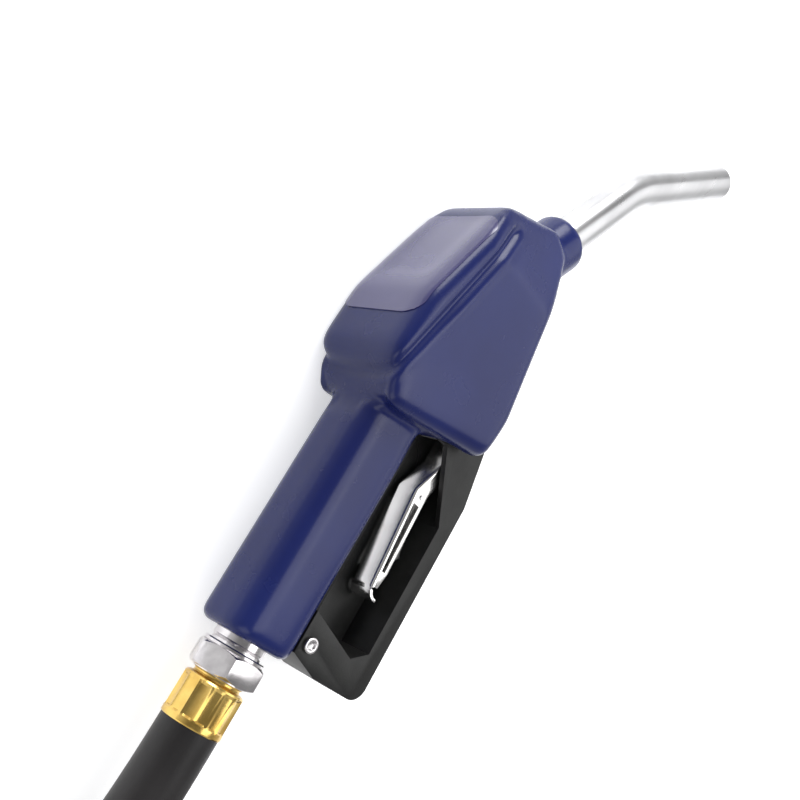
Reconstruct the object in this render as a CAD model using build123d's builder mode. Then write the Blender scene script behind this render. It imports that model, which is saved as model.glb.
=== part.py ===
from build123d import *
import os
from math import acos, cos, pi, radians, sin, sqrt, tan

# Automatic fuel nozzle with its delivery hose, lying on its flat left side.
# X runs forward along the handle, Y towards the nozzle's top, Z up: the nozzle's right side.
# The origin is on the flat left side face, level with the handle's axis.

# jacket and body form
body_half_width = 33.0
mid = body_half_width  # height of the nozzle's middle plane above its left side
jacket_wall = 3.0
jacket_gap = 0.1
handle_rear = -185.0
handle_front = -40.0
handle_half_width = 20.0
handle_half_height = 22.0
handle_corner = 13.5
tail_round = 5.0
least_round = 1.0
hump_rear = -31.0
hump_top = 36.0
hump_knee = (3.0, 35.0)
hump_front = 76.0
label_slope = 15.5
neck_x = -57.0
skirt_corner = (-42.0, -57.5)
belly_low = (-16.0, -59.5)
belly_front = (36.0, -51.5)
edge_round = 8.0
corner_round = 8.0
neck_drop = 1.0  # the neck's corner starts just inside the handle
taper_rear = neck_x - 12.0
over = 1.0  # how far a cut runs past the face it opens
cut_depth = 120.0  # deeper than any part of the nozzle
plan_taper_start = 46.0
nose_half_width = 17.5

# nose and spout line
nose_x = 110.0
nose_y = -55.0
nose_slope = 25.0
collar_radius = 18.0
collar_length = 62.0
collar_lip = 2.0
collar_lead = 24.0  # how far the collar stands out of the body form
collar_round = 4.0
lip_gap = 0.5
slit_depth = 30.0
slit_length = 3.0
slit_width = 2.0
slit_reach = 20.0
casting_nose_setback = 10.0
nose_bore_radius = 13.2
nose_bore_depth = 72.0
seat_clearance = 0.05

# spout
spout_radius = 11.9
spout_wall = 1.3
spout_straight = 62.0
spout_bend = 20.0
spout_bend_radius = 75.0
spout_end_length = 88.0
spout_seat_depth = 34.0
bead_length = 4.0
seal_width = 2.0
nut_flange_radius = 15.0
nut_flange_front = 3.0
flange_gap = 0.2
tip_length = 9.0
tip_wall = 1.0
sensing_radius = 2.5
sensing_wall = 0.6
sensing_offset = 7.6
sensing_setback = 14.0
port_radius = 1.6
port_cover = 2.0  # the sensing tube's end passes the port by this

# fuel passages and main valve
passage_radius = 10.0
inlet_radius = 13.2
inlet_depth = 20.0
valve_x = -33.0
valve_bore = 13.0
seat_hole = 9.0
seat_y = -12.0
seat_thickness = 2.0
gallery_top = seat_y - seat_thickness
gallery_bottom = -28.0
gallery_half_width = 14.0
gallery_front = 50.0
cap_y = 8.0
cap_length = 9.0
cap_head_height = 4.0
cap_head_flats = 18.0
cap_seal_wire = 1.8
cap_seal_up = 1.5  # the seal's groove above the cap's foot
cap_room = 1.5
poppet_radius = 11.2
poppet_height = 4.5
poppet_chamfer = 1.5
disc_thickness = 1.6
disc_gap = 0.3
stem_radius = 3.0
stem_proud = 2.0
stem_end_y = -52.0
casting_bottom = -44.0
boss_half_width = 9.4
boss_top = -33.0
underside_half_width = 19.4
underside_rear = -67.0
boss_rear = -62.0
underside_front = 19.0
underside_low = -66.0
gland_radius = 6.5
gland_height = 7.0
gland_seal_height = 4.0
gland_slot_aside = 4.7
gland_slot_length = 3.0
gland_slot_width = 2.0
gland_slot_depth = 1.5
main_wire = 1.5
main_spring_radius = 7.0
short_spring_turns = 4
long_spring_turns = 5

# shut-off latch
trip_x = 0.0
trip_radius = 5.0
sleeve_wall = 3.4
run_gap = 0.06
chamber_floor = 2.5
trip_head_y = 0.5
trip_head_radius = 6.8
trip_head_height = 2.0
trip_spring_seat = -12.5
trip_spring_bore = 7.4
trip_wire = 1.0
trip_drop = 5.5
trip_eye_y = -58.0
trip_eye_half = 4.0
trip_eye_end = 4.5
latch_radius = 1.9
latch_end_y = -18.0
latch_room = 2.0
latch_chamfer = 0.6
ball_radius = 1.8
ball_y = -17.0
ball_count = 3
ball_relief = 0.75
relief_end = 0.5
diaphragm_y = 8.0
diaphragm_radius = 18.0
diaphragm_thickness = 0.8
diaphragm_gap = 0.3
pocket_radius = 13.0
cover_height = 10.0
cover_wall = 2.4
plate_radius = 9.0
plate_thickness = 1.2
cover_screw_circle = 15.6
cover_screw_count = 4
cover_screw_turn = 45.0
cover_screw_radius = 1.2
cover_screw_length = 16.0
cover_screw_head = 2.0
cover_screw_short = 1.0  # left free at the bottom of its tapped hole
diaphragm_wire = 0.8
diaphragm_spring_radius = 6.0

# check valve in the nose, measured back from the nose's end
guide_depth = spout_seat_depth
guide_length = 4.0
guide_rim = 2.0
guide_arms = 3
guide_arm_width = 2.4
guide_arm_out = 0.7
check_spring_length = 16.0
check_disc_length = 3.5
check_seat_length = 6.0
check_radius = 10.8
check_hole = 9.0
check_stem = 2.4
check_stem_short = 0.5
check_wire = 1.0
check_spring_radius = 5.0

# lever, its pin and the hold-open clip
pin_radius = 2.0
lever_pin_proud = 1.0
clip_pin_proud = 0.8
lever_half_width = 8.0
lever_sheet = 2.0
lever_gap = 0.3
lever_top = stem_end_y - lever_gap
lever_rise = (-72.0, -44.5)
lever_tail = (-128.0, -50.5)
lever_curl = (-135.0, -58.5)
lever_depth = 8.0
lever_front = 6.0
lever_bend = -52.0
lever_lip = (-132.0, -61.5)
lever_heel = (-126.0, -57.0)
lever_belly = (-74.0, -54.0)
lever_throat = (-48.0, -61.3)
lever_foot = -63.0
lever_round = 1.4
lever_cutback = 2.0
clip_x = -74.0
clip_y = -51.0
clip_end = (-110.0, -58.5)
clip_lip = (-107.0, -61.0)
clip_heel = (-105.0, -59.3)
clip_sheet = 1.3
clip_spring_gap = 0.5
clip_half_width = 5.6
clip_pin_radius = 1.5
clip_eye_radius = 3.6
clip_wire = 0.6

# hand guard
guard_half_width = 13.0
guard_wall = 3.5
guard_bottom = -79.0
guard_bar = 10.5
guard_rear = -184.0
guard_web_top = -43.0
guard_screw_x = -171.0
guard_screw_y = -28.5
cheek_front = 6.0
cheek_rear = -44.0
cheek_top = -33.5
cheek_low = -62.0
cheek_gap = 0.05
guard_knee = (-33.0, -72.0)
guard_bar_front = -64.0
guard_bar_rear = -159.0
guard_slope_rear = -82.0
guard_open_front = -30.0
guard_heel = -42.0
guard_heel_round = 9.0
guard_seat = -22.2
guard_seat_rear = -178.0
guard_seat_front = -155.0
guard_crook = (-166.0, -58.0)
guard_web_rear = -163.0
guard_screw_radius = 2.5
guard_screw_head = 4.2
screw_head_height = 2.2
screw_head_chamfer = 0.8
lug_half_width = 5.0
lug_length = 12.0
lug_end = 4.5
lug_gap = 0.4
guard_web = 2.5
front_screw_x = -16.0
front_screw_y = -38.5
front_screw_radius = 2.0
front_screw_length = 11.0
front_screw_head = 3.6

# name plate
plate_length = 54.0
plate_half_width = 18.0
plate_depth = 0.6
plate_proud = 0.3
plate_centre = 0.5
plate_corner = 6.0

# inlet fitting and hose coupling
neck_radius = 14.0
neck_length = 8.0
hex_flats = 33.0
hex_length = 12.0
hex_chamfer = 1.2
thread_length = 16.0
thread_chamfer = 1.0
inlet_seal_width = 2.4
inlet_seal_height = 1.8
hose_radius = 15.5
ferrule_radius = 14.7
ferrule_length = 24.0
flute_count = 14
flute_depth = 0.7
ferrule_rim = 2.5
stem_bore = 8.0
stem_wall = 2.2
strainer_length = 30.0
strainer_radius = 9.0
strainer_wall = 0.5

# hose: 3/4 inch, 3.05 m, put away in three turns
coil_radius = 172.0
coil_x = -456.0
coil_y = -167.0
top_turn_sweep = 170.0
run_share = 0.45  # of a straight run, taken up by the arc at its end
lay_in = 0.5  # how far the top turn sinks into the one it lies on
hose_points = [
    (-270.0, 0.0, 33.0),
    (-318.0, 3.0, 28.5),
    (-366.0, 9.5, 20.5),
    (-412.0, 17.0, 16.0),
]


def along_handle(x, y=0.0):
    """A plane across the handle's axis, facing forward."""
    return Plane(origin=(x, y, mid), x_dir=(0, 1, 0), z_dir=(1, 0, 0))


def upright(x, y):
    """A plane across a valve's axis, facing the nozzle's top."""
    return Plane(origin=(x, y, mid), x_dir=(1, 0, 0), z_dir=(0, 1, 0))


def nose_point(depth, aside=0.0):
    """A point on the nose's axis, depth inside its end, and aside towards the top."""
    a = radians(nose_slope)
    return (nose_x - depth * cos(a) + aside * sin(a), nose_y + depth * sin(a) + aside * cos(a))


def across_nose(depth, aside=0.0):
    """A plane across the nose's axis, facing out of the nose."""
    a = radians(nose_slope)
    x, y = nose_point(depth, aside)
    return Plane(origin=(x, y, mid), x_dir=(0, 0, 1), z_dir=(cos(a), -sin(a), 0))


def label_line(x):
    """The height of the sloping top face over x."""
    return hump_knee[1] - (x - hump_knee[0]) * tan(radians(label_slope))


def body_form(inset):
    """The nozzle's outer form, drawn in by inset all round."""
    half = body_half_width - inset
    collar = collar_radius - inset
    with BuildPart() as form:
        with BuildSketch(Plane.XY.offset(inset)) as side:
            with BuildLine():
                Polyline(
                    (neck_x, handle_half_height - neck_drop),
                    (hump_rear, hump_top),
                    hump_knee,
                    (hump_front, label_line(hump_front)),
                    nose_point(collar_lead, collar_radius - neck_drop),
                    nose_point(collar_lead),
                    belly_front,
                    belly_low,
                    skirt_corner,
                    close=True,
                )
            make_face()
            if inset:
                offset(amount=-inset, kind=Kind.INTERSECTION, mode=Mode.REPLACE)
            fillet(side.vertices(), corner_round - inset)
        extrude(amount=2 * half)
        fillet(form.faces().filter_by(Axis.Z).edges(), edge_round - inset)
        with BuildSketch(Plane.XZ.offset(cut_depth)):
            with BuildLine():
                Polyline(
                    (taper_rear, inset),
                    (plan_taper_start, inset),
                    (nose_x, mid - nose_half_width + inset),
                    (nose_x, mid + nose_half_width - inset),
                    (plan_taper_start, 2 * mid - inset),
                    (taper_rear, 2 * mid - inset),
                    close=True,
                )
            make_face()
        extrude(amount=-2 * cut_depth, mode=Mode.INTERSECT)
        with BuildSketch(along_handle(handle_rear + inset)) as section:
            RectangleRounded(
                2 * (handle_half_height - inset),
                2 * (handle_half_width - inset),
                handle_corner - inset,
            )
        extrude(amount=handle_front - handle_rear - inset)
        fillet(
            form.faces().filter_by(Axis.X).sort_by(Axis.X)[0].edges(),
            max(tail_round - inset, least_round),
        )
        with BuildSketch(across_nose(collar_length)):
            Circle(collar)
        extrude(amount=collar_length - inset * collar_lip / jacket_wall)
        out = Axis((0, 0, 0), tuple(across_nose(0).z_dir))
        chamfer(form.faces().sort_by(out)[-1].edges(), collar_round - inset)
    return form.part


def coil_spring(plane, radius, wire, length, turns):
    """A coil spring standing on a plane, with its wire's surface inside the length."""
    with BuildPart() as spring:
        with BuildLine() as path:
            Helix(
                pitch=(length - wire) / turns,
                height=length - wire,
                radius=radius,
                center=plane.offset(wire / 2).origin,
                direction=plane.z_dir,
            )
        with BuildSketch(Plane(origin=path.line @ 0, z_dir=path.line % 0)):
            Circle(wire / 2)
        sweep(is_frenet=True)
    return spring.part


def tube_along(path, outer, inner):
    """A round tube along a line, or a rod where inner is 0."""
    with BuildPart() as tube:
        with BuildSketch(Plane(origin=path @ 0, z_dir=path % 0)):
            Circle(outer)
            if inner:
                Circle(inner, mode=Mode.SUBTRACT)
        sweep(path=path, transition=Transition.ROUND)
    return tube.part


os.makedirs("parts", exist_ok=True)


def save(piece, name):
    """Names a finished piece and writes it to its own file."""
    piece.part.label = name
    export_step(piece.part, f"parts/{name}.step")


plate_x = hump_knee[0] + plate_centre * (hump_front - hump_knee[0])
slope = radians(label_slope)
plate_plane = Plane(
    origin=(plate_x, label_line(plate_x), mid),
    x_dir=(cos(slope), -sin(slope), 0),
    z_dir=(sin(slope), cos(slope), 0),
)
# ---- jacket: one soft moulding over the handle, the body and the nose
with BuildPart() as hand_insulator:
    add(body_form(0))
    add(body_form(jacket_wall), mode=Mode.SUBTRACT)
    # the tail's hole, where the inlet fitting passes
    with BuildSketch(along_handle(handle_rear - over)):
        Circle(neck_radius + jacket_gap)
    extrude(amount=jacket_wall + 2 * over, mode=Mode.SUBTRACT)
    # the nose's lip, open for the spout
    with BuildSketch(across_nose(collar_lip + over)):
        Circle(spout_radius + lip_gap)
    extrude(amount=collar_lip + 3 * over, mode=Mode.SUBTRACT)
    # the open underside between the skirts, for the lever and the guard
    with BuildSketch(Plane.XY.offset(mid - underside_half_width)):
        with BuildLine():
            Polyline(
                (underside_rear, boss_top + over),
                (underside_front + over, boss_top + over),
                (underside_front + over, underside_low),
                (underside_rear, underside_low),
                close=True,
            )
        make_face()
    extrude(amount=2 * underside_half_width, mode=Mode.SUBTRACT)
    # the slot that the guard's lug comes through
    with BuildSketch(Plane.XY.offset(mid - lug_half_width - jacket_gap)):
        with BuildLine():
            Polyline(
                (guard_screw_x - lug_length / 2 - jacket_gap, over - handle_half_height),
                (guard_screw_x + lug_length / 2 + jacket_gap, over - handle_half_height),
                (guard_screw_x + lug_length / 2 + jacket_gap, guard_screw_y),
                (guard_screw_x - lug_length / 2 - jacket_gap, guard_screw_y),
                close=True,
            )
        make_face()
        offset(amount=jacket_wall, kind=Kind.INTERSECTION, mode=Mode.REPLACE)
    extrude(amount=2 * (lug_half_width + jacket_gap), mode=Mode.SUBTRACT)
    # the name plate's recess
    with BuildSketch(plate_plane.offset(-plate_depth)):
        RectangleRounded(plate_length, 2 * plate_half_width, plate_corner)
    extrude(amount=2 * plate_depth, mode=Mode.SUBTRACT)
    # the slit along the nose's collar
    with BuildSketch(across_nose(slit_depth, collar_radius)):
        Rectangle(slit_width, slit_length)
    extrude(amount=slit_reach, mode=Mode.SUBTRACT)
save(hand_insulator, "hand_insulator")

# ---- body casting: fuel passages, valve bores and the nose
casting_inset = jacket_wall + jacket_gap
with BuildPart() as body_casting:
    add(body_form(casting_inset))
    # the nose stops short of the jacket's lip, which covers the spout nut
    with BuildSketch(across_nose(casting_nose_setback)):
        Circle(2 * collar_radius)
    extrude(amount=casting_nose_setback + 5 * over, mode=Mode.SUBTRACT)
    # everything below the boss is open for the lever
    with BuildSketch(Plane.XY) as underside:
        with BuildLine():
            Polyline(
                (underside_rear, casting_bottom),
                (underside_front, casting_bottom),
                (underside_front, underside_low),
                (underside_rear, underside_low),
                close=True,
            )
        make_face()
    extrude(amount=2 * mid, mode=Mode.SUBTRACT)
    # the boss is as wide as the gap between the guard's cheeks
    for side in (-1, 1):
        with BuildSketch(Plane.XY.offset(mid + side * boss_half_width)) as flank:
            with BuildLine():
                Polyline(
                    (boss_rear, boss_top),
                    (underside_front, boss_top),
                    (underside_front, casting_bottom - 2 * over),
                    (boss_rear, casting_bottom - 2 * over),
                    close=True,
                )
            make_face()
        extrude(amount=side * mid, mode=Mode.SUBTRACT)
    # the lug that the guard's tail screws to
    with BuildSketch(Plane.XY.offset(mid - lug_half_width)):
        with BuildLine():
            Polyline(
                (guard_screw_x - lug_length / 2, jacket_wall + over - handle_half_height),
                (guard_screw_x + lug_length / 2, jacket_wall + over - handle_half_height),
                (guard_screw_x + lug_end, guard_screw_y - lug_end),
                (guard_screw_x - lug_end, guard_screw_y - lug_end),
                close=True,
            )
        make_face()
    extrude(amount=2 * lug_half_width)
    with BuildSketch(Plane.XY.offset(mid - lug_half_width)):
        with Locations((guard_screw_x, guard_screw_y)):
            Circle(guard_screw_radius)
    extrude(amount=2 * lug_half_width, mode=Mode.SUBTRACT)
    # inlet and handle passage
    with BuildSketch(along_handle(handle_rear)):
        Circle(inlet_radius)
    extrude(amount=inlet_depth, mode=Mode.SUBTRACT)
    with BuildSketch(along_handle(handle_rear)):
        Circle(passage_radius)
    extrude(amount=valve_x - handle_rear, mode=Mode.SUBTRACT)
    # main valve: upper chamber, seat hole, lower chamber, and the space for the cap's head
    with BuildSketch(upright(valve_x, seat_y)):
        Circle(valve_bore)
    extrude(amount=cap_y + cap_length - seat_y, mode=Mode.SUBTRACT)
    with BuildSketch(upright(valve_x, cap_y + cap_length)):
        Circle(valve_bore + cap_room)
    extrude(amount=cut_depth, mode=Mode.SUBTRACT)
    with BuildSketch(upright(valve_x, gallery_bottom)):
        Circle(seat_hole)
    extrude(amount=seat_y - gallery_bottom, mode=Mode.SUBTRACT)
    with BuildSketch(upright(valve_x, gallery_bottom)):
        Circle(valve_bore)
    extrude(amount=gallery_top - gallery_bottom, mode=Mode.SUBTRACT)
    # gallery from the valve to the nose
    with BuildSketch(upright((valve_x + gallery_front) / 2, gallery_bottom)):
        Rectangle(gallery_front - valve_x, 2 * gallery_half_width)
    extrude(amount=gallery_top - gallery_bottom, mode=Mode.SUBTRACT)
    with BuildSketch(across_nose(nose_bore_depth)):
        Circle(nose_bore_radius)
    extrude(amount=nose_bore_depth, mode=Mode.SUBTRACT)
    # the latch's sleeve stands in the gallery
    with BuildSketch(upright(trip_x, gallery_bottom - over)):
        Circle(trip_radius + sleeve_wall)
    extrude(amount=gallery_top - gallery_bottom + 2 * over)
    # main stem's hole and gland
    with BuildSketch(upright(valve_x, casting_bottom)):
        Circle(stem_radius + run_gap)
    extrude(amount=gallery_bottom - casting_bottom, mode=Mode.SUBTRACT)
    with BuildSketch(upright(valve_x, casting_bottom)):
        Circle(gland_radius)
    extrude(amount=gland_height + gland_seal_height, mode=Mode.SUBTRACT)
    # diaphragm chamber, spring seat, sleeve bore and the latch balls' relief
    with BuildSketch(upright(trip_x, diaphragm_y)):
        Circle(diaphragm_radius + diaphragm_gap)
    extrude(amount=cut_depth, mode=Mode.SUBTRACT)
    with BuildSketch(upright(trip_x, chamber_floor)):
        Circle(pocket_radius)
    extrude(amount=diaphragm_y - chamber_floor, mode=Mode.SUBTRACT)
    with BuildSketch(upright(trip_x, trip_spring_seat)):
        Circle(trip_spring_bore)
    extrude(amount=chamber_floor - trip_spring_seat, mode=Mode.SUBTRACT)
    with BuildSketch(upright(trip_x, casting_bottom)):
        Circle(trip_radius + run_gap)
    extrude(amount=trip_spring_seat - casting_bottom, mode=Mode.SUBTRACT)
    with BuildSketch(upright(trip_x, ball_y - ball_radius - trip_drop - relief_end)):
        Circle(trip_radius + ball_relief)
    extrude(amount=2 * ball_radius + trip_drop + 2 * relief_end, mode=Mode.SUBTRACT)
    # tapped holes: diaphragm cover and guard
    with BuildSketch(upright(trip_x, diaphragm_y)):
        with PolarLocations(cover_screw_circle, cover_screw_count, cover_screw_turn):
            Circle(cover_screw_radius)
    extrude(amount=-(cover_screw_length - cover_height), mode=Mode.SUBTRACT)
    with BuildSketch(Plane.XY.offset(mid - boss_half_width)):
        with Locations((front_screw_x, front_screw_y)):
            Circle(front_screw_radius)
    extrude(amount=2 * boss_half_width, mode=Mode.SUBTRACT)
save(body_casting, "body_casting")

# ---- main valve: stem, poppet, rubber face, spring, cap and gland
poppet_y = seat_y + disc_thickness
with BuildPart() as main_stem:
    with BuildSketch(upright(valve_x, stem_end_y + stem_radius)):
        Circle(stem_radius)
    extrude(amount=poppet_y + poppet_height + stem_proud - stem_end_y - stem_radius)
    with BuildSketch(Plane(origin=(valve_x, stem_end_y + stem_radius, mid), z_dir=(0, 0, 1))) as dome:
        Circle(stem_radius)
        with Locations((0, stem_radius)):
            Rectangle(2 * stem_radius, 2 * stem_radius, mode=Mode.SUBTRACT)
        with Locations((stem_radius, 0)):
            Rectangle(2 * stem_radius, 2 * stem_radius, mode=Mode.SUBTRACT)
    revolve(axis=Axis((valve_x, 0, mid), (0, 1, 0)))
save(main_stem, "main_stem")

with BuildPart() as main_poppet:
    with BuildSketch(upright(valve_x, poppet_y)):
        Circle(poppet_radius)
        Circle(stem_radius, mode=Mode.SUBTRACT)
    extrude(amount=poppet_height)
    rims = main_poppet.edges().filter_by(GeomType.CIRCLE).sort_by(Axis.Y)[-2:]
    chamfer(rims.sort_by(SortBy.RADIUS)[-1], poppet_chamfer)
save(main_poppet, "main_poppet")

with BuildPart() as poppet_disc:
    with BuildSketch(upright(valve_x, seat_y)):
        Circle(poppet_radius - disc_gap)
        Circle(stem_radius, mode=Mode.SUBTRACT)
    extrude(amount=disc_thickness)
save(poppet_disc, "poppet_disc")

with BuildPart() as main_spring:
    add(
        coil_spring(
            upright(valve_x, poppet_y + poppet_height),
            main_spring_radius,
            main_wire,
            cap_y - poppet_y - poppet_height,
            short_spring_turns,
        )
    )
save(main_spring, "main_spring")

with BuildPart() as valve_cap:
    with BuildSketch(upright(valve_x, cap_y)):
        Circle(valve_bore)
    extrude(amount=cap_length)
    with BuildSketch(upright(valve_x, cap_y + cap_length)):
        RegularPolygon(cap_head_flats / 2, 6, major_radius=False)
    extrude(amount=cap_head_height)
    with BuildSketch(upright(valve_x, cap_y + cap_seal_up)):
        Circle(valve_bore + over)
        Circle(valve_bore - cap_seal_wire, mode=Mode.SUBTRACT)
    extrude(amount=cap_seal_wire, mode=Mode.SUBTRACT)
save(valve_cap, "valve_cap")

with BuildPart() as cap_seal:
    with BuildSketch(upright(valve_x, cap_y + cap_seal_up)):
        Circle(valve_bore)
        Circle(valve_bore - cap_seal_wire, mode=Mode.SUBTRACT)
    extrude(amount=cap_seal_wire)
save(cap_seal, "cap_seal")

with BuildPart() as packing_nut:
    with BuildSketch(upright(valve_x, casting_bottom)):
        Circle(gland_radius)
        Circle(stem_radius + run_gap, mode=Mode.SUBTRACT)
    extrude(amount=gland_height)
    with BuildSketch(upright(valve_x, casting_bottom)):
        with PolarLocations(gland_slot_aside, 2, 90.0):
            Rectangle(gland_slot_length, gland_slot_width)
    extrude(amount=gland_slot_depth, mode=Mode.SUBTRACT)
save(packing_nut, "packing_nut")

with BuildPart() as stem_seal:
    with BuildSketch(upright(valve_x, casting_bottom + gland_height)):
        Circle(gland_radius)
        Circle(stem_radius + run_gap, mode=Mode.SUBTRACT)
    extrude(amount=gland_seal_height)
save(stem_seal, "stem_seal")

# ---- shut-off latch: the trip stem carries the lever's pivot
with BuildPart() as trip_stem:
    with BuildSketch(upright(trip_x, trip_eye_y)):
        Circle(trip_radius)
    extrude(amount=trip_head_y - trip_eye_y)
    with BuildSketch(upright(trip_x, trip_head_y - trip_head_height)):
        Circle(trip_head_radius)
    extrude(amount=trip_head_height)
    # the eye is flat-sided and round-ended
    for side in (-1, 1):
        with BuildSketch(Plane.XY.offset(mid + side * trip_eye_half)):
            with Locations((trip_x, trip_eye_y)):
                Rectangle(4 * trip_radius, 2 * (casting_bottom - trip_eye_y - over))
        extrude(amount=side * trip_radius, mode=Mode.SUBTRACT)
    with BuildSketch(Plane.XY.offset(mid - trip_eye_half)):
        with Locations((trip_x, trip_eye_y)):
            Circle(trip_eye_end)
    extrude(amount=2 * trip_eye_half)
    with BuildSketch(Plane.XY.offset(mid - trip_eye_half)):
        with Locations((trip_x, trip_eye_y)):
            Circle(pin_radius)
    extrude(amount=2 * trip_eye_half, mode=Mode.SUBTRACT)
    # the latch pin's bore and the balls' holes
    with BuildSketch(upright(trip_x, latch_end_y - latch_room)):
        Circle(latch_radius + run_gap)
    extrude(amount=trip_head_y - latch_end_y + latch_room, mode=Mode.SUBTRACT)
    for k in range(ball_count):
        turn = 2 * pi * k / ball_count
        with BuildSketch(
            Plane(
                origin=(trip_x, ball_y, mid),
                x_dir=(0, 1, 0),
                z_dir=(cos(turn), 0, sin(turn)),
            )
        ):
            Circle(ball_radius + run_gap)
        extrude(amount=trip_radius + over, mode=Mode.SUBTRACT)
save(trip_stem, "trip_stem")

ball_orbit = latch_radius + run_gap + ball_radius
with BuildPart() as latch_balls:
    for k in range(ball_count):
        turn = 2 * pi * k / ball_count
        with Locations((trip_x + ball_orbit * cos(turn), ball_y, mid + ball_orbit * sin(turn))):
            Sphere(ball_radius)
save(latch_balls, "latch_balls")

with BuildPart() as trip_spring:
    add(
        coil_spring(
            upright(trip_x, trip_spring_seat),
            (trip_radius + trip_spring_bore) / 2,
            trip_wire,
            trip_head_y - trip_head_height - trip_spring_seat,
            long_spring_turns,
        )
    )
save(trip_spring, "trip_spring")

with BuildPart() as latch_pin:
    with BuildSketch(upright(trip_x, latch_end_y)):
        Circle(latch_radius)
    extrude(amount=diaphragm_y - plate_thickness - latch_end_y)
    chamfer(latch_pin.faces().sort_by(Axis.Y)[0].edges(), latch_chamfer)
save(latch_pin, "latch_pin")

with BuildPart() as diaphragm_plate:
    with BuildSketch(upright(trip_x, diaphragm_y - plate_thickness)):
        Circle(plate_radius)
    extrude(amount=plate_thickness)
    with BuildSketch(upright(trip_x, diaphragm_y + diaphragm_thickness)):
        Circle(plate_radius)
    extrude(amount=plate_thickness)
    with BuildSketch(upright(trip_x, diaphragm_y)):
        Circle(latch_radius)
    extrude(amount=diaphragm_thickness)
save(diaphragm_plate, "diaphragm_plate")

with BuildPart() as diaphragm:
    with BuildSketch(upright(trip_x, diaphragm_y)):
        Circle(diaphragm_radius)
        Circle(latch_radius, mode=Mode.SUBTRACT)
        with PolarLocations(cover_screw_circle, cover_screw_count, cover_screw_turn):
            Circle(cover_screw_radius, mode=Mode.SUBTRACT)
    extrude(amount=diaphragm_thickness)
save(diaphragm, "diaphragm")

cover_y = diaphragm_y + diaphragm_thickness
with BuildPart() as diaphragm_cover:
    with BuildSketch(upright(trip_x, cover_y)):
        Circle(diaphragm_radius)
        with PolarLocations(cover_screw_circle, cover_screw_count, cover_screw_turn):
            Circle(cover_screw_radius, mode=Mode.SUBTRACT)
    extrude(amount=cover_height - cover_screw_head)
    with BuildSketch(upright(trip_x, cover_y)):
        Circle(pocket_radius)
    extrude(amount=cover_height - cover_screw_head - cover_wall, mode=Mode.SUBTRACT)
save(diaphragm_cover, "diaphragm_cover")

with BuildPart() as diaphragm_spring:
    add(
        coil_spring(
            upright(trip_x, cover_y + plate_thickness),
            diaphragm_spring_radius,
            diaphragm_wire,
            cover_height - cover_screw_head - cover_wall - plate_thickness,
            short_spring_turns,
        )
    )
save(diaphragm_spring, "diaphragm_spring")

with BuildPart() as cover_screws:
    with BuildSketch(upright(trip_x, cover_y + cover_height - cover_screw_head)):
        with PolarLocations(cover_screw_circle, cover_screw_count, cover_screw_turn):
            Circle(2 * cover_screw_radius)
    extrude(amount=cover_screw_head)
    with BuildSketch(upright(trip_x, cover_y + cover_height - cover_screw_head)):
        with PolarLocations(cover_screw_circle, cover_screw_count, cover_screw_turn):
            Circle(cover_screw_radius)
    extrude(amount=cover_screw_head + cover_screw_short - cover_screw_length)
save(cover_screws, "cover_screws")

# ---- check valve and venturi seat in the nose
check_poppet_depth = guide_depth + guide_length + check_spring_length
with BuildPart() as check_guide:
    with BuildSketch(across_nose(guide_depth + guide_length)) as spider:
        Circle(nose_bore_radius - seat_clearance)
        Circle(nose_bore_radius - guide_rim, mode=Mode.SUBTRACT)
        Circle(check_stem + guide_rim)
        with PolarLocations(nose_bore_radius / 2 + guide_arm_out, guide_arms, 90.0):
            Rectangle(nose_bore_radius - guide_rim - over / 2, guide_arm_width)
        Circle(check_stem + run_gap, mode=Mode.SUBTRACT)
    extrude(amount=guide_length)
save(check_guide, "check_guide")

with BuildPart() as check_poppet:
    with BuildSketch(across_nose(check_poppet_depth + check_disc_length)):
        Circle(check_radius)
    extrude(amount=check_disc_length)
    with BuildSketch(across_nose(check_poppet_depth)):
        Circle(check_stem)
    extrude(amount=check_poppet_depth - guide_depth - check_stem_short)
save(check_poppet, "check_poppet")

with BuildPart() as check_spring:
    add(
        coil_spring(
            across_nose(guide_depth + guide_length + check_spring_length),
            check_spring_radius,
            check_wire,
            check_spring_length,
            long_spring_turns,
        )
    )
save(check_spring, "check_spring")

seat_depth = check_poppet_depth + check_disc_length + check_seat_length
with BuildPart() as check_seat:
    with BuildSketch(across_nose(seat_depth)):
        Circle(nose_bore_radius - seat_clearance)
        Circle(check_hole, mode=Mode.SUBTRACT)
    extrude(amount=check_seat_length)
save(check_seat, "check_seat")

# ---- spout, its nut and seal, the sensing tube and the tip
a0 = radians(nose_slope)
a1 = radians(nose_slope + spout_bend)
spout_reach = spout_bend_radius * tan(radians(spout_bend) / 2)


def spout_line(depth, aside, last):
    """The spout's centre line, or one beside it, from inside the nose to the tip."""
    start = nose_point(depth, aside)
    corner = nose_point(-spout_straight - spout_reach)
    corner = (
        corner[0] + aside * sin((a0 + a1) / 2) / cos((a1 - a0) / 2),
        corner[1] + aside * cos((a0 + a1) / 2) / cos((a1 - a0) / 2),
    )
    end = (
        nose_point(-spout_straight - spout_reach)[0] + (spout_reach + last) * cos(a1) + aside * sin(a1),
        nose_point(-spout_straight - spout_reach)[1] - (spout_reach + last) * sin(a1) + aside * cos(a1),
    )
    with BuildLine(Plane.XY.offset(mid)) as line:
        FilletPolyline(start, corner, end, radius=spout_bend_radius + aside)
    return line.line, end


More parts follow.
